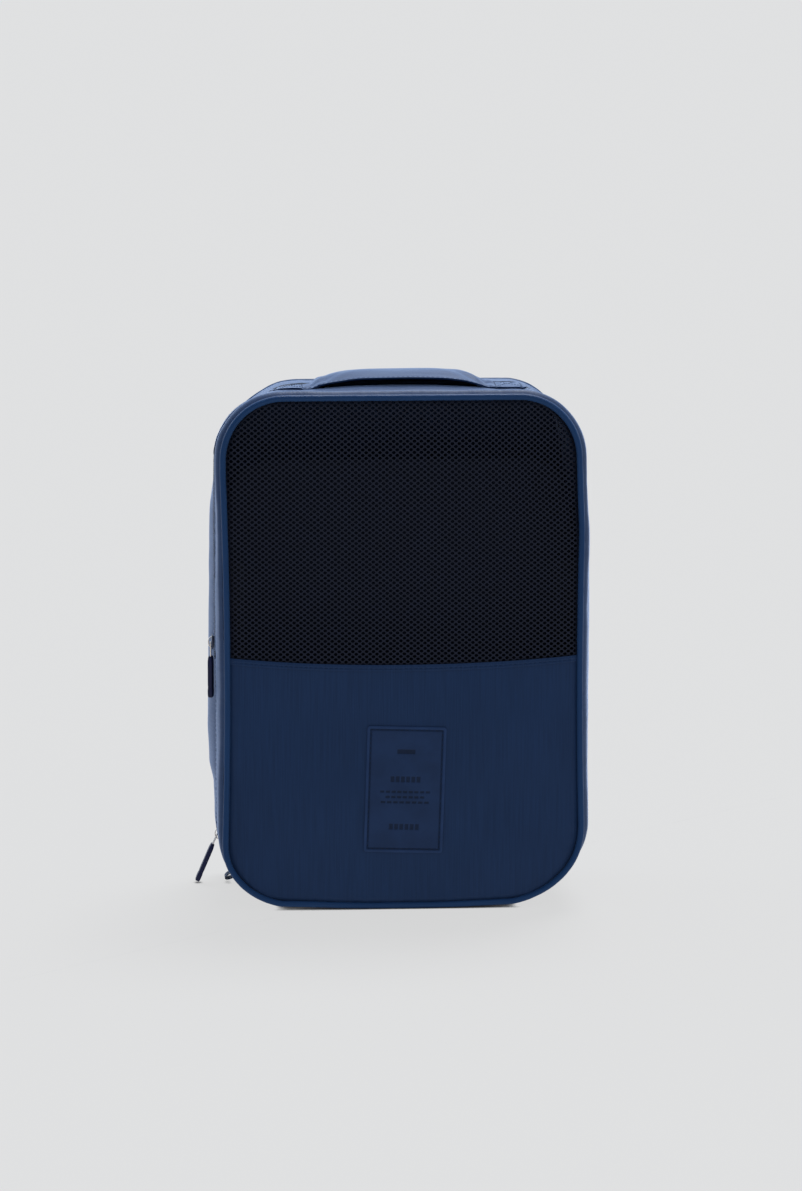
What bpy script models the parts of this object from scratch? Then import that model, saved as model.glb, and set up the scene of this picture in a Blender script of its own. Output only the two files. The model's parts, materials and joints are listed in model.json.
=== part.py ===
"""Soft standing shoe bag with a mesh window flap, a rear lid, two coil zips and a carrying handle.

Metres, +Z up. The origin is the middle of the base, the front faces -Y, and the sliders are on the
left side, at -X. Cloth walls are plain sheets of their true size, with the seams where pieces meet.
"""
import math

import bmesh
import bpy
from mathutils import Vector

MM = 0.001

# Driving dimensions of the bag.
WIDTH = 230 * MM
HEIGHT = 330 * MM
DEPTH = 125 * MM
TOP_RADIUS = 40 * MM
BOTTOM_RADIUS = 46 * MM
ZIP_CORNER_RADIUS = 26 * MM
CLOTH = 1.8 * MM
GAP = 0.3 * MM

# The two folds: the window flap turns on the first and the rear lid on the second.
WINDOW_FOLD_Z = 163 * MM
REAR_FOLD_Z = 26 * MM
FOLD_GAP = 0.4 * MM

# Zips: where they run, and their cross-section.
FRONT_ZIP_Y = -35 * MM
REAR_ZIP_Y = 27 * MM
ZIP_HALF_WIDTH = 4.8 * MM
ZIP_SLOT = 0.8 * MM
COIL_OUTER = 2.6 * MM
COIL_HEIGHT = 0.9 * MM
TAPE = 1.0 * MM

# Shape of the side walls from front to back, at the two panels and the edges of the zips.
PANEL_Y = DEPTH / 2
BAND_Y = 58.2 * MM
SEAMS_Y = (-PANEL_Y, FRONT_ZIP_Y - ZIP_HALF_WIDTH, FRONT_ZIP_Y + ZIP_HALF_WIDTH,
           REAR_ZIP_Y - ZIP_HALF_WIDTH, REAR_ZIP_Y + ZIP_HALF_WIDTH, PANEL_Y)
SEAM_BULGE = (0, 5 * MM, 5 * MM, 0, 0, 0)
BULGE_BETWEEN = (0.8 * MM, 0, 7 * MM, 0, 0.6 * MM)
SEAM_RISE = (0, 1.0 * MM, 1.0 * MM, 0.5 * MM, 0.5 * MM, 0)
RISE_BETWEEN = (0.3 * MM, 0, 1.8 * MM, 0, 0.3 * MM)
SEAM_RADIUS = (BOTTOM_RADIUS, BOTTOM_RADIUS, BOTTOM_RADIUS, ZIP_CORNER_RADIUS,
               ZIP_CORNER_RADIUS, BOTTOM_RADIUS)
NO_CROWN = (0, 0, 0, 0, 0)

# Panels and the piping around them.
PIPING_RADIUS = 2.0 * MM
PIPING_Y = 60.5 * MM
PIPING_HALF_WIDTH = WIDTH / 2 - 1.5 * MM
PIPING_LIFT = 0.2 * MM
PANEL_EDGE_Y = 61 * MM
PANEL_DOME = 5 * MM
PANEL_CLOTH = 1.5 * MM
PANEL_ROWS = (120 * MM, 200 * MM)
BINDING_HEIGHT = 5 * MM
BINDING_CLOTH = 0.8 * MM

# Label patch on the lower front panel.
LABEL_SIZE = (51 * MM, 1.2 * MM, 83 * MM)
LABEL_PLACE = (0.4 * MM, -67.1 * MM, 78.8 * MM)
LABEL_TILT = math.radians(1.8)
LABEL_ROUNDING = 2 * MM

# Handle on the top band.
HANDLE_SPAN = 123 * MM
HANDLE_WIDTH = 36 * MM
HANDLE_CLOTH = 1.6 * MM
HANDLE_FOOT_Z = 333.2 * MM
HANDLE_ARCH = 8.7 * MM
PATCH_LENGTH = 20 * MM
PATCH_ROUNDING = 1.5 * MM

# Sliders and pulls.
SLIDER_LENGTH = 9 * MM
SLIDER_HALF_WIDTH = 3.6 * MM
SLIDER_PLATE = 0.9 * MM
SLIDER_WEB = 0.5 * MM
BRIDGE_LENGTH = 7.2 * MM
BRIDGE_HEIGHT = 2.5 * MM
BRIDGE_WIRE = 0.8 * MM
BRIDGE_WIDTH = 1.4 * MM
LINK_RADIUS = 0.45 * MM
LINK_HALF_WIDTH = 1.75 * MM
LINK_CORNER = 0.9 * MM
SOCKET_RADIUS = 0.78 * MM
SOCKET_DEPTH = 3.6 * MM
TAB_SIZE = (3.2 * MM, 6.6 * MM, 27 * MM)
TAB_ROUNDING = 1.6 * MM
FRONT_TAB_DROP = 9.0 * MM
REAR_TAB_DROP = 7.2 * MM
REAR_PULL_LEAN = math.radians(23.2)
FRONT_SLIDER_Z = 171.2 * MM
REAR_SLIDER_Z = 32.8 * MM
FLAP_TAPE_Z = 176.2 * MM
LID_TAPE_Z = 37.8 * MM

# Divider between the two compartments, and what is inside.
DIVIDER_HALF_WIDTH = 113 * MM
DIVIDER_TOP_Z = 285 * MM
DIVIDER_BOTTOM_Z = 6 * MM
DIVIDER_Y = -4.5 * MM
DIVIDER_CLOTH = 1.6 * MM
TAPE_STRIP = 1.4 * MM
HOOK_Y = -6.3 * MM
LOOP_Y = -8.0 * MM
STRIP_INNER_X = 100 * MM
HOOK_OUTER_X = 112 * MM
LOOP_OUTER_X = 121.3 * MM
STRIP_Z = (60 * MM, 220 * MM)
BOARD_SIZE = (138 * MM, 100 * MM, 1.8 * MM)
BOARD_Z = 3.2 * MM
BOARD_ROUNDING = 10 * MM
GRIP_SIZE = (7 * MM, 12 * MM, 7 * MM)
GRIP_PLACE = (-112.6 * MM, REAR_ZIP_Y, 4.0 * MM)

# How finely the walls are divided.
CORNER_STEPS = 5
SIDE_ROWS = (240 * MM, 200 * MM, 163 * MM, 120 * MM, 80 * MM, 46 * MM, 36 * MM)

COLOURS = {
    "nylon": ((0.016, 0.035, 0.095), 0.5, 0.0),
    "lining": ((0.010, 0.020, 0.055), 0.7, 0.0),
    "piping": ((0.012, 0.040, 0.110), 0.4, 0.0),
    "mesh": ((0.012, 0.014, 0.025), 0.8, 0.0),
    "zip_tape": ((0.014, 0.030, 0.080), 0.8, 0.0),
    "zip_coil": ((0.018, 0.038, 0.090), 0.45, 0.0),
    "label": ((0.015, 0.032, 0.085), 0.55, 0.0),
    "metal": ((0.62, 0.58, 0.55), 0.25, 1.0),
    "pull": ((0.010, 0.016, 0.050), 0.5, 0.0),
    "hook_loop": ((0.010, 0.012, 0.025), 0.9, 0.0),
    "board": ((0.030, 0.032, 0.040), 0.6, 0.0),
}


def clear_scene():
    for old in list(bpy.data.objects):
        bpy.data.objects.remove(old, do_unlink=True)


def material(name):
    """The Principled material of one kind of piece, made once."""
    existing = bpy.data.materials.get(name)
    if existing:
        return existing
    colour, roughness, metallic = COLOURS[name]
    made = bpy.data.materials.new(name)
    made.use_nodes = True
    shader = made.node_tree.nodes["Principled BSDF"]
    shader.inputs["Base Color"].default_value = (*colour, 1.0)
    shader.inputs["Roughness"].default_value = roughness
    shader.inputs["Metallic"].default_value = metallic
    return made


def add_object(name, data, kind, smooth=True):
    """Link an object with its material; kind is None for a cutter or a guide."""
    piece = bpy.data.objects.new(name, data)
    bpy.context.collection.objects.link(piece)
    if kind is None:
        piece.hide_render = True
        piece.display_type = "WIRE"
        return piece
    data.materials.append(material(kind))
    if smooth and isinstance(data, bpy.types.Mesh):
        data.shade_smooth()
        data.set_sharp_from_angle(angle=math.radians(40))
    return piece


def mesh_object(name, shape, kind, smooth=True):
    data = bpy.data.meshes.new(name)
    shape.to_mesh(data)
    shape.free()
    return add_object(name, data, kind, smooth)


def thicken(piece, thickness, outwards=False):
    """Give a sheet its thickness, behind its outer face or in front of it."""
    wall = piece.modifiers.new("Cloth", "SOLIDIFY")
    wall.thickness = thickness
    wall.offset = 1.0 if outwards else -1.0
    wall.use_even_offset = True
    return wall


def tube(name, path, radius, kind):
    """Round rod through the points of path, with closed ends."""
    data = bpy.data.curves.new(name, "CURVE")
    data.dimensions = "3D"
    data.bevel_depth = radius
    data.bevel_resolution = 2
    data.render_resolution_u = 0
    data.use_fill_caps = True
    run = data.splines.new("POLY")
    run.points.add(len(path) - 1)
    for spot, place in zip(run.points, path):
        spot.co = (*place, 1.0)
    return add_object(name, data, kind)


# ---- Shape of the wall that runs round the bag -------------------------------------------------

def along_depth(y, at_seams, between):
    """Value at depth y, from its values at the seams and the crown between each two of them."""
    spans = zip(SEAMS_Y, SEAMS_Y[1:], at_seams, at_seams[1:], between)
    for front, back, first, last, crown in spans:
        if y <= back + GAP:
            share = min(max((y - front) / (back - front), 0.0), 1.0)
            return first + (last - first) * share + crown * math.sin(math.pi * share)
    raise ValueError("depth outside the bag")


def half_width(y):
    return WIDTH / 2 + along_depth(y, SEAM_BULGE, BULGE_BETWEEN)


def wall_x(y, z, lift=0.0):
    """Half width of the wall at height z, on its straight side or its lower corner."""
    radius = along_depth(y, SEAM_RADIUS, NO_CROWN)
    drop = max(radius - z, 0.0)
    return half_width(y) - radius + math.sqrt((radius + lift) ** 2 - drop ** 2)


def upper_half(y, low, lift=0.0):
    """Points (x, z) of the wall's right half, from the middle of the top down to height low."""
    corner_x = WIDTH / 2 - TOP_RADIUS
    corner_z = HEIGHT - TOP_RADIUS
    reach = half_width(y) - corner_x + lift
    rise = TOP_RADIUS + along_depth(y, SEAM_RISE, RISE_BETWEEN) + lift
    points = [(0.0, corner_z + rise), (corner_x / 2, corner_z + rise)]
    for step in range(CORNER_STEPS + 1):
        angle = math.pi / 2 * (1 - step / CORNER_STEPS)
        points.append((corner_x + reach * math.cos(angle), corner_z + rise * math.sin(angle)))
    rows = [row for row in SIDE_ROWS if row > low + GAP]
    points += [(wall_x(y, row, lift), row) for row in rows]
    points.append((wall_x(y, low, lift), low))
    return points


def side_run(y, low, high):
    """Points (x, z) of the right side only, from height high down to height low."""
    rows = [row for row in SIDE_ROWS if low + GAP < row < high - GAP]
    return [(wall_x(y, row), row) for row in (high, *rows, low)]


def lower_half(y, high):
    """Points (x, z) of the right half of the base, from height high down to the middle."""
    radius = along_depth(y, SEAM_RADIUS, NO_CROWN)
    start = math.asin(min(max((radius - high) / radius, 0.0), 1.0))
    centre_x = half_width(y) - radius
    points = []
    for step in range(CORNER_STEPS + 1):
        angle = start + (math.pi / 2 - start) * step / CORNER_STEPS
        points.append((centre_x + radius * math.cos(angle), radius - radius * math.sin(angle)))
    return points + [(centre_x / 2, 0.0), (0.0, 0.0)]


def whole_run(half):
    """Both halves of an outline that starts at its middle, from the left end to the right end."""
    left = [(-x, z) for x, z in reversed(half)]
    return left + half[1:]


def depths(front, back, count):
    return [front + (back - front) * step / count for step in range(count + 1)]


def grid_sheet(name, lines, kind):
    """Sheet through lines of points that all have the same number of points."""
    shape = bmesh.new()
    rows = [[shape.verts.new(point) for point in line] for line in lines]
    for near, far in zip(rows, rows[1:]):
        for index in range(len(near) - 1):
            shape.faces.new((near[index], near[index + 1], far[index + 1], far[index]))
    return mesh_object(name, shape, kind)


def band(name, front, back, low, count, kind="nylon", lift=0.0, cloth=CLOTH, outwards=False):
    """Wall that runs up the left side, over the top and down the right side to height low."""
    lines = []
    for y in depths(front, back, count):
        lines.append([(x, y, z) for x, z in whole_run(upper_half(y, low, lift))])
    piece = grid_sheet(name, lines, kind)
    thicken(piece, cloth, outwards)
    return piece


def side_strip(name, side):
    """Lower side wall in front of the middle band, on one side (-1 left, 1 right)."""
    lines = []
    for y in depths(-BAND_Y, FRONT_ZIP_Y + ZIP_HALF_WIDTH, 4):
        run = side_run(y, REAR_FOLD_Z + FOLD_GAP, WINDOW_FOLD_Z - FOLD_GAP)
        if side < 0:
            run = run[::-1]
        lines.append([(side * x, y, z) for x, z in run])
    thicken(grid_sheet(name, lines, "nylon"), CLOTH)


def base_panel():
    lines = []
    for y in depths(-BAND_Y, BAND_Y, 10):
        run = whole_run(lower_half(y, REAR_FOLD_Z - FOLD_GAP)[::-1])
        lines.append([(-x, y, z) for x, z in run])
    thicken(grid_sheet("base_panel", lines, "nylon"), CLOTH)


def zip_side(name, centre_y, side, low, middle_side):
    """Tape and coil row on one side of a zip; side is -1 in front of its middle, 1 behind it."""
    edges = sorted((centre_y + side * ZIP_SLOT, centre_y + side * (ZIP_HALF_WIDTH - GAP)))
    band(f"{name}_zip_tape_{middle_side}", edges[0], edges[1], low, 1, "zip_tape", 0.0, TAPE)
    rows = sorted((centre_y + side * ZIP_SLOT, centre_y + side * COIL_OUTER))
    band(f"{name}_zip_coil_{middle_side}", rows[0], rows[1], low, 1, "zip_coil", GAP,
         COIL_HEIGHT, outwards=True)


# ---- Front and back panels, and the piping ----------------------------------------------------

def rounded_outline(half, low, high, low_radius, high_radius):
    """Closed outline (x, z) of a rounded panel, starting at the middle of the bottom."""
    points = [(0.0, low), (half / 2, low)]
    corners = ((half - low_radius, low + low_radius, low_radius, -90),
               (half - high_radius, high - high_radius, high_radius, 0))
    for centre_x, centre_z, radius, start in corners:
        for step in range(CORNER_STEPS + 1):
            angle = math.radians(start + 90 * step / CORNER_STEPS)
            points.append((centre_x + radius * math.cos(angle),
                           centre_z + radius * math.sin(angle)))
        if start < 0:
            points += [(half, row) for row in PANEL_ROWS]
    points.append((half / 2, high))
    left = [(-x, z) for x, z in reversed(points[1:])]
    return points + [(0.0, high)] + left


def panel_sheet(name, side, low, high, kind, extra=0.0, thickness=PANEL_CLOTH, outwards=False):
    """Domed panel between two heights; side is -1 at the front and 1 at the back."""
    inset = WIDTH / 2 - PIPING_HALF_WIDTH + PIPING_RADIUS + 2 * GAP
    bottom = PIPING_LIFT + 2 * PIPING_RADIUS + 2 * GAP
    outline = rounded_outline(WIDTH / 2 - inset, bottom, HEIGHT - inset,
                              BOTTOM_RADIUS - inset, TOP_RADIUS - inset)
    middle = Vector((0.0, HEIGHT / 2))
    shape = bmesh.new()
    rings = []
    for share in (1.0, 0.85, 0.6, 0.3):
        depth = PANEL_EDGE_Y + extra + PANEL_DOME * (1 - share ** 3)
        ring = []
        for x, z in outline:
            flat = middle + (Vector((x, z)) - middle) * share
            ring.append(shape.verts.new((flat.x, side * depth, flat.y)))
        rings.append(ring)
    for outer, inner in zip(rings, rings[1:]):
        for index in range(len(outer)):
            after = (index + 1) % len(outer)
            shape.faces.new((outer[index], outer[after], inner[after], inner[index]))
    top = shape.verts.new((0.0, side * (PANEL_EDGE_Y + extra + PANEL_DOME), HEIGHT / 2))
    for index in range(len(outline)):
        shape.faces.new((rings[-1][index], rings[-1][(index + 1) % len(outline)], top))
    if side > 0:
        bmesh.ops.reverse_faces(shape, faces=shape.faces)
    for height, up in ((low, -1), (high, 1)):
        everything = shape.verts[:] + shape.edges[:] + shape.faces[:]
        bmesh.ops.bisect_plane(shape, geom=everything, plane_co=(0, 0, height),
                               plane_no=(0, 0, up), clear_outer=True)
    thicken(mesh_object(name, shape, kind), thickness, outwards)


def piping(name, side, low=None, high=None):
    """Round cord cover along the panel's edge: the part above low, or the part below high."""
    radius = BOTTOM_RADIUS - (WIDTH / 2 - PIPING_HALF_WIDTH)
    bottom = PIPING_RADIUS + PIPING_LIFT
    outline = rounded_outline(PIPING_HALF_WIDTH, bottom, HEIGHT - (WIDTH / 2 - PIPING_HALF_WIDTH),
                              radius, TOP_RADIUS - (WIDTH / 2 - PIPING_HALF_WIDTH))
    if high is None:
        fold = low
        path = [point for point in outline if point[1] > low + GAP]
    else:
        fold = high
        below = [point for point in outline if point[1] < high - GAP]
        path = [point for point in below if point[0] < 0]
        path += [point for point in below if point[0] >= 0]
    drop = max(bottom + radius - fold, 0.0)
    edge_x = PIPING_HALF_WIDTH - radius + math.sqrt(radius ** 2 - drop ** 2)
    first = math.copysign(edge_x, path[0][0])
    path = [(first, fold), *path, (-first, fold)]
    tube(name, [(x, side * PIPING_Y, z) for x, z in path], PIPING_RADIUS, "piping")


# ---- Boxes with rounded edges, for flat pieces --------------------------------------------------

def slab(name, size, place, kind, round_axis=None, radius=0.0, tilt=0.0):
    """Flat piece; the edges along round_axis are rounded off with the given radius."""
    shape = bmesh.new()
    bmesh.ops.create_cube(shape, size=1.0)
    bmesh.ops.scale(shape, vec=size, verts=shape.verts)
    if round_axis is not None:
        others = [axis for axis in range(3) if axis != round_axis]
        edges = []
        for edge in shape.edges:
            run = edge.verts[1].co - edge.verts[0].co
            if all(abs(run[axis]) < GAP for axis in others):
                edges.append(edge)
        bmesh.ops.bevel(shape, geom=edges, offset=radius, segments=3, affect="EDGES",
                        profile=0.5)
    piece = mesh_object(name, shape, kind)
    piece.location = place
    piece.rotation_euler = (0.0, tilt, 0.0)
    return piece


def handle_strap():
    """Flat strap that arches over the top band between its two sewn ends."""
    steps = 14
    lines = []
    for y in depths(-HANDLE_WIDTH / 2, HANDLE_WIDTH / 2, 1):
        line = []
        for step in range(steps + 1):
            share = 2 * step / steps - 1
            rise = HANDLE_ARCH * (1 - share ** 4)
            line.append((share * HANDLE_SPAN / 2, y, HANDLE_FOOT_Z + HANDLE_CLOTH + rise))
        lines.append(line)
    thicken(grid_sheet("handle_strap", lines, "nylon"), HANDLE_CLOTH)


def handle_patches():
    reach = HANDLE_SPAN / 2 + GAP + PATCH_LENGTH / 2
    for word, side in (("left", -1), ("right", 1)):
        place = (side * reach, 0.0, HANDLE_FOOT_Z + HANDLE_CLOTH / 2)
        slab(f"handle_patch_{word}", (PATCH_LENGTH, HANDLE_WIDTH, HANDLE_CLOTH), place,
             "nylon", 2, PATCH_ROUNDING)


# ---- Sliders and pulls ---------------------------------------------------------------------------

def prism(name, outline, along, length, kind):
    """Solid made by pushing a flat outline of points half its length each way."""
    shape = bmesh.new()
    push = Vector(along).normalized() * length
    face = shape.faces.new([shape.verts.new(Vector(p) - push / 2) for p in outline])
    grown = bmesh.ops.extrude_face_region(shape, geom=[face])
    new_verts = [item for item in grown["geom"] if isinstance(item, bmesh.types.BMVert)]
    bmesh.ops.translate(shape, verts=new_verts, vec=push)
    bmesh.ops.recalc_face_normals(shape, faces=shape.faces)
    return mesh_object(name, shape, kind)


def slider_outline():
    """Cross-section of the slider: two plates, joined by a web that runs between the coils."""
    wide, thin = SLIDER_HALF_WIDTH, SLIDER_WEB
    plate_in = TAPE + GAP
    plate_out = COIL_HEIGHT + 2 * GAP
    levels = (-plate_in - SLIDER_PLATE, -plate_in, plate_out, plate_out + SLIDER_PLATE)
    half = ((levels[0], wide), (levels[1], wide), (levels[1], thin),
            (levels[2], thin), (levels[2], wide), (levels[3], wide))
    there = [(-u, v, 0.0) for u, v in half]
    back = [(-u, -v, 0.0) for u, v in reversed(half)]
    return there + back


def slider_top():
    """How far the slider's outer face stands off the wall."""
    return COIL_HEIGHT + 2 * GAP + SLIDER_PLATE


def bridge_outline():
    """Arch over the slider's outer face that holds the pull's link."""
    floor = slider_top() - GAP
    arcs = ((BRIDGE_LENGTH / 2, BRIDGE_HEIGHT + GAP, 1),
            (BRIDGE_LENGTH / 2 - BRIDGE_WIRE, BRIDGE_HEIGHT + GAP - BRIDGE_WIRE, -1))
    points = []
    for reach, rise, turn in arcs:
        for step in range(9):
            angle = math.pi * step / 8
            angle = angle if turn > 0 else math.pi - angle
            points.append((-(floor + rise * math.sin(angle)), 0.0, reach * math.cos(angle)))
    return points


def slider(name, place):
    body = prism(name, slider_outline(), (0, 0, 1), SLIDER_LENGTH, "metal")
    body.location = place
    arch = prism(f"{name}_bridge", bridge_outline(), (0, 1, 0), BRIDGE_WIDTH, None)
    arch.location = place
    join = body.modifiers.new("Bridge", "BOOLEAN")
    join.operation = "UNION"
    join.solver = "EXACT"
    join.object = arch


def link_path(length):
    """Wire bail: up one leg, over the axis and down the other leg, as (y, z)."""
    half, corner = LINK_HALF_WIDTH, LINK_CORNER
    leg = [(-half, -length), (-half, -length / 2), (-half, -corner)]
    for step in range(1, 4):
        angle = math.pi / 2 * step / 3
        leg.append((-half + corner - corner * math.cos(angle), -corner + corner * math.sin(angle)))
    return leg + [(-y, z) for y, z in reversed(leg)]


def pull(name, place, drop, lean):
    """Pull that hangs from an axis at place: a wire bail whose legs end inside the moulded tab."""
    axis = bpy.data.objects.new(f"{name}_axis", None)
    bpy.context.collection.objects.link(axis)
    axis.location = place
    axis.rotation_euler = (0.0, lean, 0.0)
    path = [(0.0, y, z) for y, z in link_path(drop + SOCKET_DEPTH - 2 * GAP)]
    link = tube(f"{name}_link", path, LINK_RADIUS, "metal")
    link.parent = axis
    tab = slab(f"{name}_tab", TAB_SIZE, (0.0, 0.0, -drop - TAB_SIZE[2] / 2), "pull", 0, TAB_ROUNDING)
    tab.parent = axis
    for side in (-1, 1):
        shape = bmesh.new()
        bmesh.ops.create_cone(shape, segments=10, radius1=SOCKET_RADIUS, radius2=SOCKET_RADIUS,
                              depth=2 * SOCKET_DEPTH, cap_ends=True)
        socket = mesh_object(f"{name}_socket_{side + 1}", shape, None)
        socket.location = (0.0, side * LINK_HALF_WIDTH, -drop)
        socket.parent = axis
        cut = tab.modifiers.new("Socket", "BOOLEAN")
        cut.operation = "DIFFERENCE"
        cut.solver = "EXACT"
        cut.object = socket


def slider_and_pull(name, zip_y, slider_z, drop, lean):
    wall = -half_width(zip_y)
    slider(f"{name}_slider", (wall, zip_y, slider_z))
    axis_x = wall - slider_top() - GAP - LINK_RADIUS
    pull(f"{name}_pull", (axis_x, zip_y, slider_z), drop, lean)


# ---- Inside ------------------------------------------------------------------------------------------

def divider():
    """Upright partition whose lower corners follow the base."""
    half, low, high = DIVIDER_HALF_WIDTH, DIVIDER_BOTTOM_Z, DIVIDER_TOP_Z
    radius = BOTTOM_RADIUS
    right = [(half, high)]
    for step in range(CORNER_STEPS + 1):
        angle = math.pi / 2 * step / CORNER_STEPS
        right.append((half - radius + radius * math.cos(angle),
                      low + radius - radius * math.sin(angle)))
    outline = right + [(-x, z) for x, z in reversed(right)]
    points = [(x, DIVIDER_Y, z) for x, z in outline]
    prism("divider_panel", points, (0, 1, 0), DIVIDER_CLOTH, "lining")


def fastening_strips():
    """Loop strips sewn to the side walls, and the hook strips on the divider behind them."""
    height = STRIP_Z[1] - STRIP_Z[0]
    middle_z = (STRIP_Z[0] + STRIP_Z[1]) / 2
    kinds = (("loop_strip", LOOP_OUTER_X, LOOP_Y), ("hook_strip", HOOK_OUTER_X, HOOK_Y))
    for word, side in (("left", -1), ("right", 1)):
        for name, outer, y in kinds:
            size = (outer - STRIP_INNER_X, TAPE_STRIP, height)
            place = (side * (outer + STRIP_INNER_X) / 2, y, middle_z)
            slab(f"{name}_{word}", size, place, "hook_loop")


def build():
    clear_scene()
    above_window = WINDOW_FOLD_Z + FOLD_GAP
    above_rear = REAR_FOLD_Z + FOLD_GAP
    front_gap = FRONT_ZIP_Y - ZIP_HALF_WIDTH
    middle = (FRONT_ZIP_Y + ZIP_HALF_WIDTH + GAP, REAR_ZIP_Y - ZIP_HALF_WIDTH)
    rear_gap = REAR_ZIP_Y + ZIP_HALF_WIDTH
    base_panel()
    band("middle_band", middle[0], middle[1], above_rear, 6)
    side_strip("side_strip_left", -1)
    side_strip("side_strip_right", 1)
    band("front_band_upper", -BAND_Y, front_gap, above_window, 2)
    band("rear_band", rear_gap, BAND_Y, above_rear, 3)
    zip_side("front", FRONT_ZIP_Y, -1, FLAP_TAPE_Z, "outer")
    zip_side("front", FRONT_ZIP_Y, 1, above_window, "inner")
    zip_side("rear", REAR_ZIP_Y, -1, above_rear, "inner")
    zip_side("rear", REAR_ZIP_Y, 1, LID_TAPE_Z, "outer")
    panel_sheet("mesh_window", -1, above_window, HEIGHT, "mesh")
    panel_sheet("front_panel", -1, 0.0, WINDOW_FOLD_Z - FOLD_GAP, "nylon")
    panel_sheet("window_binding", -1, WINDOW_FOLD_Z - BINDING_HEIGHT,
                WINDOW_FOLD_Z - FOLD_GAP, "nylon", GAP, BINDING_CLOTH, outwards=True)
    panel_sheet("back_panel", 1, above_rear, HEIGHT, "nylon")
    panel_sheet("back_panel_lower", 1, 0.0, REAR_FOLD_Z - FOLD_GAP, "nylon")
    piping("front_piping_upper", -1, low=above_window)
    piping("front_piping_lower", -1, high=WINDOW_FOLD_Z - FOLD_GAP)
    piping("back_piping_upper", 1, low=above_rear)
    piping("back_piping_lower", 1, high=REAR_FOLD_Z - FOLD_GAP)
    slab("label_patch", LABEL_SIZE, LABEL_PLACE, "label", 1, LABEL_ROUNDING, LABEL_TILT)
    handle_strap()
    handle_patches()
    slider_and_pull("front", FRONT_ZIP_Y, FRONT_SLIDER_Z, FRONT_TAB_DROP, 0.0)
    slider_and_pull("rear", REAR_ZIP_Y, REAR_SLIDER_Z, REAR_TAB_DROP, REAR_PULL_LEAN)
    divider()
    fastening_strips()
    slab("base_board", BOARD_SIZE, (0.0, 0.0, BOARD_Z), "board", 2, BOARD_ROUNDING)
    slab("grip_tab", GRIP_SIZE, GRIP_PLACE, "nylon", 2, PATCH_ROUNDING)


build()
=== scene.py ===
"""Looks of a soft standing shoe bag: nylon walls, mesh window, piping, zips, handle and label."""

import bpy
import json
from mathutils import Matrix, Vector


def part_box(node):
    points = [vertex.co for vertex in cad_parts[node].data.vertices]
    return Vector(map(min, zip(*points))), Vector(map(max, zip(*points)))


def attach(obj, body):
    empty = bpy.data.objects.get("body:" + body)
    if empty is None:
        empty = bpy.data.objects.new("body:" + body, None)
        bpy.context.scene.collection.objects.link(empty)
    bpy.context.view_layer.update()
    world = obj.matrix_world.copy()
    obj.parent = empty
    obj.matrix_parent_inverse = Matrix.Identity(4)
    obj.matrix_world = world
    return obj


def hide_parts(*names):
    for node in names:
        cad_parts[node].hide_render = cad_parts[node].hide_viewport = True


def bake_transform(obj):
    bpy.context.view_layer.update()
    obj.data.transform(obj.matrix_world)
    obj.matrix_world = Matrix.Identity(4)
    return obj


bl_info = {
    "name": "Standing Shoe Bag",
    "version": (1, 0, 0),
    "blender": (4, 5, 0),
    "location": "3D View > Sidebar > Shoe Bag",
    "description": "Builds the cloth, net, zips and trims of a standing shoe bag round its frame",
    "category": "Add Mesh",
}

import bisect
import json
import math

import bmesh
import bpy
from bpy.props import FloatProperty, FloatVectorProperty, PointerProperty
from mathutils import Matrix, Vector, noise

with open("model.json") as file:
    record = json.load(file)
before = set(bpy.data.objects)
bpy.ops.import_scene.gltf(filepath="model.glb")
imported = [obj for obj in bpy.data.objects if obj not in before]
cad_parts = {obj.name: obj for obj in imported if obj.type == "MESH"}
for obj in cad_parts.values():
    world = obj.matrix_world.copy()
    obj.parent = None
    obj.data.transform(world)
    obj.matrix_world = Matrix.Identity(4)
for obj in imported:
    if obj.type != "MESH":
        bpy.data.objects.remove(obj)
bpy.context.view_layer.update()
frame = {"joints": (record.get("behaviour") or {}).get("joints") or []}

MM = 0.001
START_OBJECTS = ("Cube", "Light", "Camera")

# Places taken from the frame.
JOINTS = {joint["name"]: joint for joint in frame["joints"]}
FLAP_FOLD = Vector(JOINTS["window_flap_fold"]["pos_m"])
LID_FOLD = Vector(JOINTS["rear_lid_fold"]["pos_m"])
PIPING_LOW, PIPING_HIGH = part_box("front_piping_upper")
PIPING_RADIUS = (PIPING_HIGH.y - PIPING_LOW.y) / 2
PIPING_Y = -(PIPING_HIGH.y + PIPING_LOW.y) / 2
PIPING_PROUD = 0.5 * MM
HALF_WIDTH = PIPING_HIGH.x - PIPING_PROUD
HEIGHT = PIPING_HIGH.z - PIPING_PROUD
PANEL_EDGE_Y = PIPING_Y + PIPING_PROUD
FRONT_ZIP_Y = (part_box("front_zip_tape_outer")[1].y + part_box("front_zip_tape_inner")[0].y) / 2
REAR_ZIP_Y = (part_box("rear_zip_tape_inner")[1].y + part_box("rear_zip_tape_outer")[0].y) / 2
FRONT_WALL_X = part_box("front_zip_tape_inner")[1].x
REAR_WALL_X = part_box("rear_zip_tape_inner")[1].x
HANDLE_LOW, HANDLE_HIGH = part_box("handle_strap")
PATCH_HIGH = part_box("handle_patch_right")[1]
LABEL_LOW, LABEL_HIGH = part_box("label_patch")

# Shape of the outline, seen from the front.
LOWER_LEFT_RADIUS = 44 * MM
LOWER_RIGHT_RADIUS = 54 * MM
UPPER_RADIUS = 40 * MM
CORNER_POINTS = 24
FLOOR = 0.3 * MM

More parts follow.
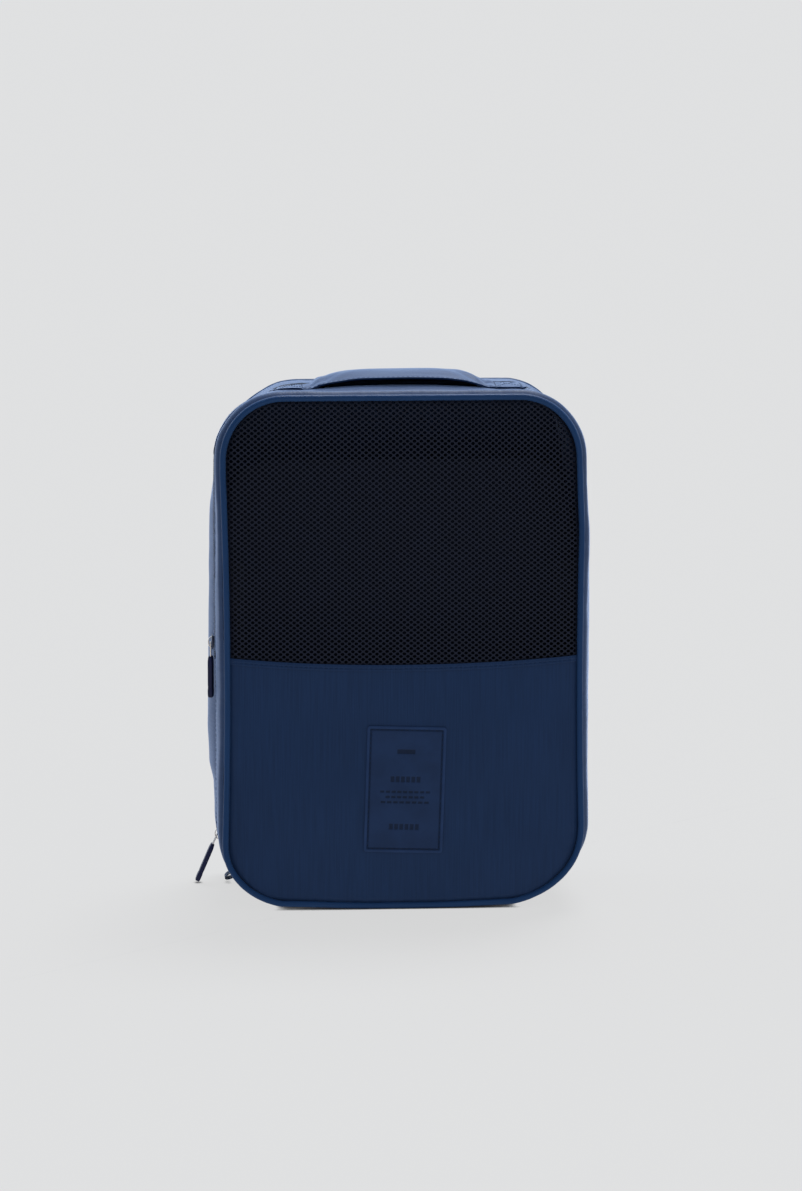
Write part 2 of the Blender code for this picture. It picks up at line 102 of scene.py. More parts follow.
# Side walls: how far they stand out at the panels and the zips, and how they swell between them.
ZIP_HALF = 4.8 * MM
STITCH_INSET = 2.1 * MM
WALL_COLUMNS = 660
PANEL_SEAM_Y = 62.5 * MM
SEAMS_Y = (-PANEL_SEAM_Y, FRONT_ZIP_Y - ZIP_HALF, FRONT_ZIP_Y + ZIP_HALF,
           REAR_ZIP_Y - ZIP_HALF, REAR_ZIP_Y + ZIP_HALF, PANEL_SEAM_Y)
FRONT_SPAN, MIDDLE_SPAN, REAR_SPAN = 0, 2, 4
FRONT_OUT = FRONT_WALL_X - HALF_WIDTH
REAR_OUT = REAR_WALL_X - HALF_WIDTH
SIDE_OUT = (0.0, FRONT_OUT, FRONT_OUT, REAR_OUT, REAR_OUT, 0.0)
TOP_OUT = (0.0, 1.0 * MM, 1.0 * MM, 0.5 * MM, 0.5 * MM, 0.0)
MIDDLE_CROWN = 6.2 * MM
REAR_CROWN = 0.8 * MM
TOP_CROWN = 1.6 * MM

# Share of the swelling at each height, and how the base widens above the floor: (height, share).
LEFT_FULLNESS = ((0.0, 0.0), (0.035, 0.1), (0.06, 0.4), (0.074, 0.5), (0.09, 1.0),
                 (0.115, 1.12), (0.17, 1.0), (0.25, 0.82), (0.29, 0.4), (0.33, 0.1))
RIGHT_FULLNESS = ((0.0, 0.0), (0.04, 0.35), (0.1, 0.84), (0.19, 1.0), (0.25, 0.84),
                  (0.29, 0.6), (0.33, 0.3))
BASE_WIDENING = ((0.015, 0.0), (0.055, 1.0))

# How far the walls' corners fall in behind the panels: top left, top right, and the base.
TOP_LEFT_SLUMP = 2.0 * MM
TOP_RIGHT_SLUMP = 2.6 * MM
BASE_SLUMP = 3.6 * MM

# The top stands higher along the front, its left corner sags at the back and its right side
# leans in; the front edge of the base bows up towards its ends.
FRONT_RISE = 3.0 * MM
BACK_SAG = Vector((5.2 * MM, 0.0, -4.0 * MM))
RIGHT_LEAN = 3.0 * MM
BASE_BOW = 2.0 * MM

# The wall rolls up behind the front piping along the top. Between the zips the top rises to its
# middle, with a dip under the strap. At the top left corner the zip lies in a crease, and the wall
# behind it bulges.
FRONT_ROLL = 2.2 * MM
CENTRE_CROWN = 3.2 * MM
CENTRE_REACH = 64 * MM
STRAP_HOLLOW = 2.6 * MM
CORNER_CREASE = 2.6 * MM
CORNER_BULGE = 3.4 * MM
CORNER_REACH = 23 * MM

# The front outline is narrowest at WAIST_Z; walls ahead of FRONT_WALL_Y spread with it.
WAIST_Z = 155 * MM
FRONT_WALL_Y = -45 * MM

# Sheen of the navy cloth, seen at a low angle.
SHEEN_TINT = (0.50, 0.65, 1.0)

# Panels: their dome, how far they tuck under the piping, and the hem below the window.
DOME = 5 * MM
TUCK = 2.5 * MM
HEM_MIDDLE_Z = 160.3 * MM
HEM_END_RISE = 4.7 * MM
HEM_HEIGHT = 4.2 * MM

# Strap: its cloth, and how high its front edge stands over the top.
STRAP_CLOTH = 1.0 * MM
STRAP_FRONT_RISE = 3.9 * MM

# Stage: suns as (name, where from, strength, spread in degrees), sky, floor and camera.
SUNS = (("back_light", (0.2, 0.45, 1.0), 3.0, 25),
        ("left_light", (-1.0, 0.35, 0.6), 0.15, 30),
        ("front_light", (0.4, -1.0, 0.8), 0.35, 50))
SKY_COLOUR = (0.74, 0.86, 1.0, 1.0)
SKY_FRONT, SKY_BACK = 0.3, 1.6
FLOOR_SIZE = 160.0
FLOOR_GLOW = 0.645
CONTACT_REACH = 3.5 * MM
CAMERA_AZIMUTH = math.radians(-3.5)
CAMERA_ELEVATION = math.radians(8.8)
CAMERA_DISTANCE = 3.17
CAMERA_LENS = 150
CAMERA_AIM = Vector((-2 * MM, -62.5 * MM, 204.6 * MM))


# ---- Settings that a user would change ---------------------------------------------------------

def length_prop(name, text, value):
    return FloatProperty(name=name, description=text, default=value, min=0.0,
                         subtype="DISTANCE", unit="LENGTH")


def colour_prop(name, text, value):
    return FloatVectorProperty(name=name, description=text, default=value, size=3,
                               min=0.0, max=1.0, subtype="COLOR")


class ShoeBagSizes(bpy.types.PropertyGroup):
    cloth: length_prop("Cloth", "Thickness of the lined nylon walls", 1.4 * MM)
    net_width: length_prop("Net cell width", "Width of one cell of the window net", 4.4 * MM)
    net_height: length_prop("Net row height", "Distance between rows of the net", 1.7 * MM)
    net_strand: length_prop("Net thickness", "Thickness of the net", 0.5 * MM)
    stitch: length_prop("Stitch length", "Length of one stitch", 2.3 * MM)
    stitch_gap: length_prop("Stitch gap", "Gap between two stitches", 0.9 * MM)
    thread: length_prop("Thread radius", "Radius of the sewing thread", 0.2 * MM)
    tooth_pitch: length_prop("Zip pitch", "Distance between two coils of a zip", 1.45 * MM)
    wrinkle: length_prop("Wrinkles", "Height of the wrinkles in the walls", 0.5 * MM)


class ShoeBagColours(bpy.types.PropertyGroup):
    nylon: colour_prop("Nylon", "Colour of the walls and panels", (0.0072, 0.027, 0.084))
    piping: colour_prop("Piping", "Colour of the piping", (0.0100, 0.042, 0.125))
    lining: colour_prop("Lining", "Colour of the inside", (0.0045, 0.008, 0.022))
    net: colour_prop("Net", "Colour of the window net", (0.013, 0.016, 0.030))
    tape: colour_prop("Zip tape", "Colour of the zip tapes", (0.005, 0.012, 0.036))
    coil: colour_prop("Zip coil", "Colour of the zip coils", (0.006, 0.014, 0.040))
    lacquer: colour_prop("Slider", "Colour of the lacquered slider bodies", (0.010, 0.018, 0.050))
    label: colour_prop("Label", "Colour of the label patch", (0.0120, 0.032, 0.092))
    thread: colour_prop("Thread", "Colour of the sewing thread", (0.007, 0.024, 0.074))
    metal: colour_prop("Metal", "Colour of the sliders and links", (0.72, 0.66, 0.62))
    pull: colour_prop("Pull", "Colour of the zip pulls", (0.006, 0.010, 0.052))
    board: colour_prop("Board", "Colour of the base stiffener", (0.03, 0.032, 0.04))
    floor: colour_prop("Floor", "Colour of the floor", (0.80, 0.80, 0.80))


# ---- Small tools ---------------------------------------------------------------------------------

def clamp(value, low=0.0, high=1.0):
    return max(low, min(high, value))


def smooth(value):
    value = clamp(value)
    return value * value * (3 - 2 * value)


def fade(value, start, width):
    """Smooth rise from 0 at start to 1 a width further on."""
    return smooth((value - start) / width)


def hump(value, middle, width):
    """Bell curve of height 1 at the middle."""
    return math.exp(-((value - middle) / width) ** 2)


def eased(value, stops):
    """Smooth curve through (value, amount) stops."""
    if value <= stops[0][0]:
        return stops[0][1]
    for (first, low), (last, high) in zip(stops, stops[1:]):
        if value <= last:
            return low + (high - low) * smooth((value - first) / (last - first))
    return stops[-1][1]


def ripple(first, second, seed):
    """Gentle noise from -1 to 1 over two scaled coordinates."""
    return noise.noise(Vector((first, second, seed)))


def nothing_selected():
    """Object mode with nothing selected, before each operator that makes or changes a piece."""
    if bpy.context.object and bpy.context.object.mode != "OBJECT":
        bpy.ops.object.mode_set(mode="OBJECT")
    bpy.ops.object.select_all(action="DESELECT")


def only(piece):
    nothing_selected()
    piece.hide_set(False)
    piece.select_set(True)
    bpy.context.view_layer.objects.active = piece


def apply_modifier(piece, kind, **settings):
    """Add a modifier with these settings and apply it."""
    only(piece)
    modifier = piece.modifiers.new(kind.title(), kind)
    for key, value in settings.items():
        setattr(modifier, key, value)
    bpy.ops.object.modifier_apply(modifier=modifier.name)


def settle(piece):
    """Put the piece's place and turn into its mesh."""
    only(piece)
    bpy.ops.object.transform_apply(location=True, rotation=True, scale=True)


def edit_mesh(*steps):
    """Run mesh operators, each with its settings, on the whole mesh of the active piece."""
    bpy.ops.object.mode_set(mode="EDIT")
    bpy.ops.mesh.select_all(action="SELECT")
    for operator, settings in steps:
        operator(**settings)
    bpy.ops.object.mode_set(mode="OBJECT")


def finish_piece(piece, kind, body, nodes=(), angle=50, inner=None):
    """Smooth shading, kind of material, and body; a piece given a bend between two bodies is only baked
    in place, not attached to either. Hides the frame's nodes that the piece stands for.
    """
    only(piece)
    bpy.ops.object.shade_smooth_by_angle(angle=math.radians(angle))
    piece.data.materials.clear()
    piece.data.materials.append(material(kind))
    if inner:
        piece.data.materials.append(material(inner))
    if isinstance(body, str):
        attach(piece, body)
    else:
        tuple(body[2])
        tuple(body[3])
        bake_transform(piece)
    if nodes:
        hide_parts(*nodes)


def cloth_grid(name, columns, rows, place, uv=None, weld=False, thick=None):
    """Grid with each point (u, v) at place(u, v); uv(u, v) is its place on the flat cloth, in metres."""
    nothing_selected()
    bpy.ops.mesh.primitive_grid_add(x_subdivisions=columns, y_subdivisions=rows, size=2.0)
    piece = bpy.context.object
    piece.name = name
    piece.data.name = name
    mesh = piece.data
    flat = [((v.co.x + 1) / 2, (v.co.y + 1) / 2) for v in mesh.vertices]
    if uv:
        layer = mesh.uv_layers.active
        for loop in mesh.loops:
            layer.data[loop.index].uv = uv(*flat[loop.vertex_index])
    for vertex, (u, v) in zip(mesh.vertices, flat):
        vertex.co = place(u, v)
    if weld:
        edit_mesh((bpy.ops.mesh.remove_doubles, {"threshold": 0.01 * MM}))
    if thick:
        apply_modifier(piece, "SOLIDIFY", thickness=thick, offset=-1.0, material_offset=1)
    return piece


def scatter(name, template, places):
    """One mesh with a copy of the template at each matrix of places."""
    shape = bmesh.new()
    for place in places:
        start = len(shape.verts)
        shape.from_mesh(template.data)
        shape.verts.ensure_lookup_table()
        for vertex in shape.verts[start:]:
            vertex.co = place @ vertex.co
    mesh = bpy.data.meshes.new(name)
    shape.to_mesh(mesh)
    shape.free()
    piece = bpy.data.objects.new(name, mesh)
    bpy.context.collection.objects.link(piece)
    bpy.data.objects.remove(template, do_unlink=True)
    return piece


def bead(radii, segments=6, rings=4):
    """Small rounded bead to copy, with its long side along X."""
    nothing_selected()
    bpy.ops.mesh.primitive_uv_sphere_add(segments=segments, ring_count=rings, radius=1.0)
    piece = bpy.context.object
    piece.rotation_euler = (0.0, math.pi / 2, 0.0)
    settle(piece)
    piece.scale = radii
    settle(piece)
    return piece


def placed(point, along, normal):
    """Matrix that puts X along a run and Z along a normal, at a point."""
    x = along.normalized()
    y = normal.cross(x).normalized()
    z = x.cross(y)
    turn = Matrix((x, y, z)).transposed().to_4x4()
    return Matrix.Translation(point) @ turn


def stitches(name, points, normals, body, closed=False):
    """Row of stitches along a line of points on the cloth, each lying on its normal."""
    sizes = bpy.context.scene.shoe_bag_sizes
    step = sizes.stitch + sizes.stitch_gap
    if closed:
        points = points + points[:1]
        normals = normals + normals[:1]
    places = []
    travelled = step / 2
    for index, (first, last) in enumerate(zip(points, points[1:])):
        run = last - first
        while run.length > 1e-9 and travelled <= run.length:
            share = travelled / run.length
            normal = normals[index].lerp(normals[index + 1], share).normalized()
            places.append(placed(first + run * share, run, normal))
            travelled += step
        travelled -= run.length
    template = bead((sizes.stitch / 2, sizes.thread * 1.3, sizes.thread))
    finish_piece(scatter(name, template, places), "thread", body)


# ---- The outline, and the skin of the bag over it --------------------------------------------------

def build_ring():
    """Outline of the panels, clockwise from the middle of the base: (point, normal) and lengths."""
    corners = ((-1, 0, LOWER_LEFT_RADIUS, 270), (-1, 1, UPPER_RADIUS, 180),
               (1, 1, UPPER_RADIUS, 90), (1, 0, LOWER_RIGHT_RADIUS, 0))
    ring_points = [(Vector((0.0, 0.0)), Vector((0.0, -1.0)))]
    for side, top, radius, start in corners:
        centre = Vector((side * (HALF_WIDTH - radius), HEIGHT - radius if top else radius))
        for step in range(CORNER_POINTS + 1):
            angle = math.radians(start - 90 * step / CORNER_POINTS)
            normal = Vector((math.cos(angle), math.sin(angle)))
            ring_points.append((centre + normal * radius, normal))
    ring_points.append(ring_points[0])
    lengths = [0.0]
    for (first, _), (last, _) in zip(ring_points, ring_points[1:]):
        lengths.append(lengths[-1] + (last - first).length)
    return ring_points, lengths


RING, RUNS = build_ring()
GIRTH = RUNS[-1]


def ring(run):
    """Point and outward normal of the outline after a run from the middle of the base."""
    run = run % GIRTH
    index = min(bisect.bisect_right(RUNS, run), len(RUNS) - 1)
    share = (run - RUNS[index - 1]) / max(RUNS[index] - RUNS[index - 1], 1e-9)
    point = RING[index - 1][0].lerp(RING[index][0], share)
    normal = RING[index - 1][1].lerp(RING[index][1], share)
    return point, normal


def run_at(height, side):
    """Run to the place on the left (-1) or right (1) side at this height."""
    low, high = (0.0, GIRTH / 2) if side < 0 else (GIRTH, GIRTH / 2)
    for _ in range(40):
        middle = (low + high) / 2
        if ring(middle)[0].y < height:
            low = middle
        else:
            high = middle
    return (low + high) / 2


TOP_LEFT_RUN = run_at(HEIGHT - 12 * MM, -1)


def waist(height):
    """How far the front outline spreads from its narrowest height."""
    return min(2.0 * MM * ((height - WAIST_Z) / 0.12) ** 2, 2.2 * MM) - 0.3 * MM


def across_depth(y, amounts):
    """Value at depth y from its values at the seams, with the span that y is in and its share."""
    index = min(max(bisect.bisect_left(SEAMS_Y, y) - 1, 0), len(SEAMS_Y) - 2)
    share = clamp((y - SEAMS_Y[index]) / (SEAMS_Y[index + 1] - SEAMS_Y[index]))
    return amounts[index] + (amounts[index + 1] - amounts[index]) * share, index, share


def corner_slump(point, normal, y):
    """How far a corner of the walls falls in, most at its middle and away from the panels."""
    if point.y < HEIGHT / 2:
        depth = BASE_SLUMP
    else:
        depth = TOP_LEFT_SLUMP if point.x < 0 else TOP_RIGHT_SLUMP
    corner = (2 * normal.x * normal.y) ** 2
    between = smooth((y + PIPING_Y) / (24 * MM)) * smooth((PIPING_Y - y) / (14 * MM))
    return depth * corner * between


def softened(point):
    """The point after the bag has settled under its own weight."""
    near = 1 - fade(point.y, -56 * MM, 28 * MM)
    rise = FRONT_RISE * near * fade(point.z, 250 * MM, 78 * MM)
    rise += BASE_BOW * near * fade(abs(point.x), 15 * MM, 75 * MM) * (1 - fade(point.z, 0.0, 45 * MM))
    high = fade(point.z, 250 * MM, 58 * MM)
    left = fade(-point.x, 62 * MM, 36 * MM)
    back = fade(point.y, -40 * MM, 60 * MM)
    lean = RIGHT_LEAN * fade(point.x, 40 * MM, 70 * MM) * fade(point.z, 235 * MM, 60 * MM)
    return point + Vector((-lean, 0.0, rise)) + BACK_SAG * (high * left * back)


def corner_crease(run, y):
    """Crease along the front zip at the top left corner, with the bulge behind it."""
    crease = CORNER_CREASE * hump(y, FRONT_ZIP_Y - 2 * MM, 5 * MM)
    bulge = CORNER_BULGE * fade(y, FRONT_ZIP_Y - 1 * MM, 8 * MM)
    bulge *= 1 - fade(y, FRONT_ZIP_Y + 9 * MM, 26 * MM)
    return hump(run, TOP_LEFT_RUN, CORNER_REACH) * (bulge - crease)


def hollow(x, y):
    """Depth of the dip in the top under the carrying strap."""
    return (STRAP_HOLLOW * smooth((HANDLE_HIGH.y - 1 * MM - abs(y)) / (3 * MM))
            * smooth((HANDLE_HIGH.x - 4 * MM - abs(x)) / (9 * MM)))


def skin(run, y, lift=0.0):
    """Point on the bag's side wall, and its outward direction in the outline's plane."""
    point, normal = ring(run)
    side = abs(normal.x) ** 1.5
    top = max(normal.y, 0.0) ** 1.5
    widening = eased(point.y, BASE_WIDENING)
    out_side, span, share = across_depth(y, SIDE_OUT)
    out_side *= widening
    out_top = across_depth(y, TOP_OUT)[0]
    out_top += FRONT_ROLL * hump(y, -54 * MM, 4.5 * MM) - hollow(point.x, y)
    arch = math.sin(math.pi * share)
    if span == FRONT_SPAN:
        out_side = FRONT_OUT * (1 - (1 - share) ** 3) * widening
    elif span == MIDDLE_SPAN:
        fullness = eased(point.y, LEFT_FULLNESS if point.x < 0 else RIGHT_FULLNESS)
        out_side += MIDDLE_CROWN * fullness * arch ** 0.85
        out_top += TOP_CROWN * arch
        out_top += CENTRE_CROWN * max(1 - (point.x / CENTRE_REACH) ** 2, 0.0) * arch ** 0.5
    elif span == REAR_SPAN:
        out_side += REAR_CROWN * arch
    if y < FRONT_WALL_Y:
        out_side += waist(point.y) * smooth((FRONT_WALL_Y - y) / (13 * MM))
    lift += corner_crease(run % GIRTH, y)
    out = side * out_side + top * out_top + lift - corner_slump(point, normal, y)
    place = point + normal * out
    place = softened(Vector((place.x, y, max(place.y, FLOOR))))
    return place, Vector((normal.x, 0.0, normal.y))


# ---- Materials ------------------------------------------------------------------------------------

def new_material(name, colour, roughness, metallic=0.0, sheen=0.0, gloss=0.5):
    """Make a Principled material; gives its tree and shader, on which all these are constants."""
    made = bpy.data.materials.new(name)
    made.use_nodes = True
    tree = made.node_tree
    shader = tree.nodes["Principled BSDF"]
    shader.inputs["Base Color"].default_value = (*colour, 1.0)
    shader.inputs["Roughness"].default_value = roughness
    shader.inputs["Metallic"].default_value = metallic
    shader.inputs["Sheen Weight"].default_value = sheen
    shader.inputs["Sheen Roughness"].default_value = 0.45
    shader.inputs["Sheen Tint"].default_value = (*SHEEN_TINT, 1.0)
    shader.inputs["Specular IOR Level"].default_value = gloss
    return tree, shader


def add_node(tree, kind, inputs=None, **settings):
    """Add a node; inputs give socket values or the sockets that feed them."""
    node = tree.nodes.new(kind)
    for key, value in settings.items():
        setattr(node, key, value)
    for key, value in (inputs or {}).items():
        if isinstance(value, bpy.types.NodeSocket):
            tree.links.new(value, node.inputs[key])
        else:
            node.inputs[key].default_value = value
    return node


def coordinates(tree, scale, source="UV"):
    """Coordinates in metres, scaled."""
    space = add_node(tree, "ShaderNodeTexCoord")
    mapping = add_node(tree, "ShaderNodeMapping", {"Vector": space.outputs[source], "Scale": scale})
    return mapping.outputs["Vector"]


def mix_colour(tree, factor, low, high):
    mix = add_node(tree, "ShaderNodeMix", data_type="RGBA")
    tree.links.new(factor, mix.inputs["Factor"])
    for index, value in ((6, low), (7, high)):
        if isinstance(value, bpy.types.NodeSocket):
            tree.links.new(value, mix.inputs[index])
        else:
            mix.inputs[index].default_value = (*value, 1.0)
    return mix.outputs[2]


def ramp(tree, factor, low, high):
    """Stretches a grey value so that low becomes 0 and high becomes 1."""
    node = add_node(tree, "ShaderNodeMapRange", {
        "Value": factor, "From Min": low, "From Max": high}, interpolation_type="SMOOTHSTEP")
    return node.outputs["Result"]


def emboss(tree, shader, height, strength, distance):
    """Feed the shader's normal from a bump of this height."""
    bump = add_node(tree, "ShaderNodeBump", {
        "Strength": strength, "Distance": distance, "Height": height})
    tree.links.new(bump.outputs["Normal"], shader.inputs["Normal"])


def shaded(colour, amount):
    return tuple(clamp(channel * amount) for channel in colour)


def woven_material(name, colour, roughness, sheen, thread=0.42 * MM, streak=0.16, bump=0.12,
                   gloss=0.12):
    """Plain-woven cloth: threads both ways, slubs that run along the warp, and faint mottling."""
    tree, shader = new_material(name, colour, roughness, sheen=sheen, gloss=gloss)
    flat = coordinates(tree, (1.0, 1.0, 1.0))
    bands = 0.314 / thread
    warp = add_node(tree, "ShaderNodeTexWave", {
        "Vector": flat, "Scale": bands, "Distortion": 0.4}, bands_direction="X")
    weft = add_node(tree, "ShaderNodeTexWave", {
        "Vector": flat, "Scale": bands, "Distortion": 0.4}, bands_direction="Y")
    weave = add_node(tree, "ShaderNodeMath", {
        0: warp.outputs["Fac"], 1: weft.outputs["Fac"]}, operation="ADD")
    slub = add_node(tree, "ShaderNodeTexNoise", {
        "Vector": coordinates(tree, (1300.0, 24.0, 1300.0)),
        "Scale": 1.0, "Detail": 3.0, "Roughness": 0.6})
    mottle = add_node(tree, "ShaderNodeTexNoise", {
        "Vector": coordinates(tree, (26.0, 14.0, 26.0)),
        "Scale": 1.0, "Detail": 4.0, "Roughness": 0.55})
    streaks = ramp(tree, slub.outputs["Fac"], 0.32, 0.68)
    patches = ramp(tree, mottle.outputs["Fac"], 0.3, 0.7)
    threads = mix_colour(tree, streaks, shaded(colour, 1 - streak), shaded(colour, 1 + streak))
    tone = mix_colour(tree, patches, shaded(colour, 0.9), shaded(colour, 1.1))
    both = add_node(tree, "ShaderNodeMix", {0: 0.4}, data_type="RGBA")
    tree.links.new(threads, both.inputs[6])
    tree.links.new(tone, both.inputs[7])
    tree.links.new(both.outputs[2], shader.inputs["Base Color"])
    shine = add_node(tree, "ShaderNodeMapRange", {
        "Value": streaks, "To Min": roughness + 0.06, "To Max": roughness - 0.05})
    tree.links.new(shine.outputs["Result"], shader.inputs["Roughness"])
    height = add_node(tree, "ShaderNodeMath", {
        0: streaks, 1: 1.6, 2: weave.outputs[0]}, operation="MULTIPLY_ADD")
    emboss(tree, shader, height.outputs[0], bump, 0.12 * MM)


def grained_material(name, colour, roughness, scale, bump, metallic=0.0, spread=0.12,
                     distance=0.05 * MM, gloss=0.5):
    """Moulded, coated or cast surface with a fine grain, in Object coordinates."""
    tree, shader = new_material(name, colour, roughness, metallic, gloss=gloss)
    where = coordinates(tree, (1.0, 1.0, 1.0), "Object")
    grain = add_node(tree, "ShaderNodeTexNoise", {
        "Vector": where, "Scale": scale, "Detail": 4.0, "Roughness": 0.6})
    cloudy = add_node(tree, "ShaderNodeTexNoise", {
        "Vector": where, "Scale": scale / 12, "Detail": 3.0})
    tone = mix_colour(tree, ramp(tree, cloudy.outputs["Fac"], 0.3, 0.7),
                      shaded(colour, 1 - spread), shaded(colour, 1 + spread))
    tree.links.new(tone, shader.inputs["Base Color"])
    shine = add_node(tree, "ShaderNodeMapRange", {
        "Value": cloudy.outputs["Fac"], "From Min": 0.3, "From Max": 0.7,
        "To Min": max(roughness - 0.07, 0.05), "To Max": roughness + 0.07})
    tree.links.new(shine.outputs["Result"], shader.inputs["Roughness"])
    emboss(tree, shader, grain.outputs["Fac"], bump, distance)


def coated_material(name, colour, roughness, gloss):
    """Coated patch with a fine leather-like grain of small cells; its colour is scaled by the tone
    attribute, which holds painted shade and a painted highlight.
    """
    tree, shader = new_material(name, colour, roughness, gloss=gloss)
    where = coordinates(tree, (1.0, 1.0, 1.0), "Object")
    cells = add_node(tree, "ShaderNodeTexVoronoi", {"Vector": where, "Scale": 1500.0})
    cloudy = add_node(tree, "ShaderNodeTexNoise", {"Vector": where, "Scale": 60.0, "Detail": 4.0})
    tone = mix_colour(tree, ramp(tree, cloudy.outputs["Fac"], 0.3, 0.7),
                      shaded(colour, 0.9), shaded(colour, 1.1))
    # The tone attribute is painted light: painted shade in the label's groove and pressed pattern, and a
    # painted highlight on its rim.
    painted_shade_attribute = add_node(tree, "ShaderNodeAttribute", attribute_name="tone")
    painted_shade_colour = add_node(tree, "ShaderNodeVectorMath", {
        "Vector": tone, "Scale": painted_shade_attribute.outputs["Fac"]}, operation="SCALE")
    tree.links.new(painted_shade_colour.outputs["Vector"], shader.inputs["Base Color"])
    emboss(tree, shader, cells.outputs["Distance"], 0.25, 0.08 * MM)


def glowing_material(name, colour):
    """Mostly self-lit, so that the floor stays even, with a little shade under the bag."""
    tree, shader = new_material(name, shaded(colour, 0.08), 0.95, gloss=0.0)
    contact = add_node(tree, "ShaderNodeAmbientOcclusion", {"Distance": CONTACT_REACH}, samples=8)
    dark = ramp(tree, contact.outputs["AO"], 0.3, 0.9)
    glow = mix_colour(tree, dark, (0.02, 0.02, 0.025), (1.0, 1.0, 1.0))
    tree.links.new(glow, shader.inputs["Emission Color"])
    shader.inputs["Emission Strength"].default_value = FLOOR_GLOW


# Kinds of material: maker, name, colour setting, and the maker's settings.
MATERIALS = {
    "nylon": (woven_material, "Navy ribbed nylon", "nylon", {"roughness": 0.44, "sheen": 0.7}),
    "piping": (woven_material, "Navy satin piping", "piping", {
        "roughness": 0.4, "sheen": 0.1, "thread": 0.3 * MM, "streak": 0.1}),
    "lining": (woven_material, "Dark navy lining", "lining", {
        "roughness": 0.6, "sheen": 0.05, "streak": 0.1}),
    "tape": (woven_material, "Woven zip tape", "tape", {
        "roughness": 0.6, "sheen": 0.25, "thread": 0.6 * MM, "streak": 0.15, "bump": 0.3}),
    "thread": (grained_material, "Sewing thread", "thread", {
        "roughness": 0.5, "scale": 3000.0, "bump": 0.2, "gloss": 0.1}),
    "net": (grained_material, "Knitted window net", "net", {
        "roughness": 0.7, "scale": 2500.0, "bump": 0.5, "gloss": 0.15}),
    "coil": (grained_material, "Nylon zip coil", "coil", {
        "roughness": 0.42, "scale": 1500.0, "bump": 0.1, "gloss": 0.2}),
    "metal": (grained_material, "Nickel-plated casting", "metal", {
        "roughness": 0.24, "scale": 900.0, "bump": 0.08, "metallic": 1.0, "spread": 0.06}),
    "lacquer": (grained_material, "Lacquered slider body", "lacquer", {
        "roughness": 0.3, "scale": 900.0, "bump": 0.1}),
    "pull": (grained_material, "Moulded pull rubber", "pull", {
        "roughness": 0.48, "scale": 1800.0, "bump": 0.3, "gloss": 0.25}),
    "hook": (grained_material, "Hook and loop pile", "lining", {
        "roughness": 0.85, "scale": 1600.0, "bump": 1.0, "distance": 0.3 * MM}),
    "board": (grained_material, "Stiffener sheet", "board", {
        "roughness": 0.55, "scale": 700.0, "bump": 0.2}),
    "label": (coated_material, "Coated label patch", "label", {"roughness": 0.55, "gloss": 0.15}),
    "floor": (glowing_material, "Pale studio floor", "floor", {}),
}


def material(kind):
    """The material of this kind, made when a piece first asks for it."""
    make, name, colour, settings = MATERIALS[kind]
    if name not in bpy.data.materials:
        make(name, tuple(getattr(bpy.context.scene.shoe_bag_colours, colour)), **settings)
    return bpy.data.materials[name]


# ---- Side walls: where their edges run, and their relief -------------------------------------------

def zip_share(run, fold):
    """1 where the zip runs, above its fold, and 0 where the two walls are sewn together below it."""
    return smooth((ring(run)[0].y - fold.z + 4 * MM) / (8 * MM))


def wall_edge(run, zip_y, side, fold):
    """Depth of a wall's edge beside a zip, or at the plain seam that goes on below the zip."""
    seam = 0.1 * MM
    return zip_y + side * (seam + (ZIP_HALF - seam) * zip_share(run, fold))


def front_edges(run):
    return -PIPING_Y + 1.2 * MM, wall_edge(run, FRONT_ZIP_Y, -1, FLAP_FOLD)


def middle_edges(run):
    return (wall_edge(run, FRONT_ZIP_Y, 1, FLAP_FOLD),
            wall_edge(run, REAR_ZIP_Y, -1, LID_FOLD))


def rear_edges(run):
    return wall_edge(run, REAR_ZIP_Y, 1, LID_FOLD), PIPING_Y - 1.2 * MM


def sewn_edge(distance, share):
    """Raised topstitched lip beside a zip, or the valley of a plain seam."""
    lip = 0.55 * MM * (1 - fade(distance, 0.0, 3.6 * MM))
    lip -= 0.35 * MM * hump(distance, STITCH_INSET, 0.7 * MM)
    valley = -1.3 * MM * (1 - fade(distance, 0.0, 2.6 * MM))
    return valley + (lip - valley) * share


def relief(run, y):
    """Wrinkles, puckers and sewn edges of the side walls."""
    run = run % GIRTH
    wrinkle = bpy.context.scene.shoe_bag_sizes.wrinkle
    height = wrinkle * ripple(run / (46 * MM), y / (26 * MM), 1.7)
    height += 0.55 * wrinkle * ripple(run / (15 * MM) + y / (22 * MM), y / (34 * MM), 5.1)
    front, rear = zip_share(run, FLAP_FOLD), zip_share(run, LID_FOLD)
    for zip_y, share, fold in ((FRONT_ZIP_Y, front, FLAP_FOLD), (REAR_ZIP_Y, rear, LID_FOLD)):
        side = 1 if y > zip_y else -1
        distance = max(side * (y - wall_edge(run, zip_y, side, fold)), 0.0)
        pucker = ripple(run / (3.6 * MM), side, zip_y / MM)
        height += sewn_edge(distance, share)
        height += 0.32 * MM * pucker * hump(distance, 0.0, 5 * MM)
    behind = PIPING_Y - abs(y)
    height += 0.3 * MM * ripple(run / (4.2 * MM), 3.3, 8.8) * hump(behind, 0.0, 5 * MM)
    height -= 1.6 * MM * (1 - fade(behind, 0.0, 4.5 * MM))
    if y < FRONT_WALL_Y:
        height -= 1.6 * MM * hump(run, TOP_LEFT_RUN, 34 * MM) * (1 - fade(behind, 2 * MM, 6 * MM))
    return height


def wall(run, y, lift=0.0):
    return skin(run, y, lift + relief(run, y))


def wall_sheet(name, edges, rows):
    """Wall right round the bag between two edges, sewn into a loop under the base."""
    def place(u, v):
        first, last = edges(u * GIRTH)
        return wall(u * GIRTH, first + (last - first) * v)[0]

    def on_cloth(u, v):
        first, last = edges(u * GIRTH)
        return u * GIRTH, first + (last - first) * v

    cloth = bpy.context.scene.shoe_bag_sizes.cloth
    return cloth_grid(name, WALL_COLUMNS, rows, place, on_cloth, weld=True, thick=cloth)


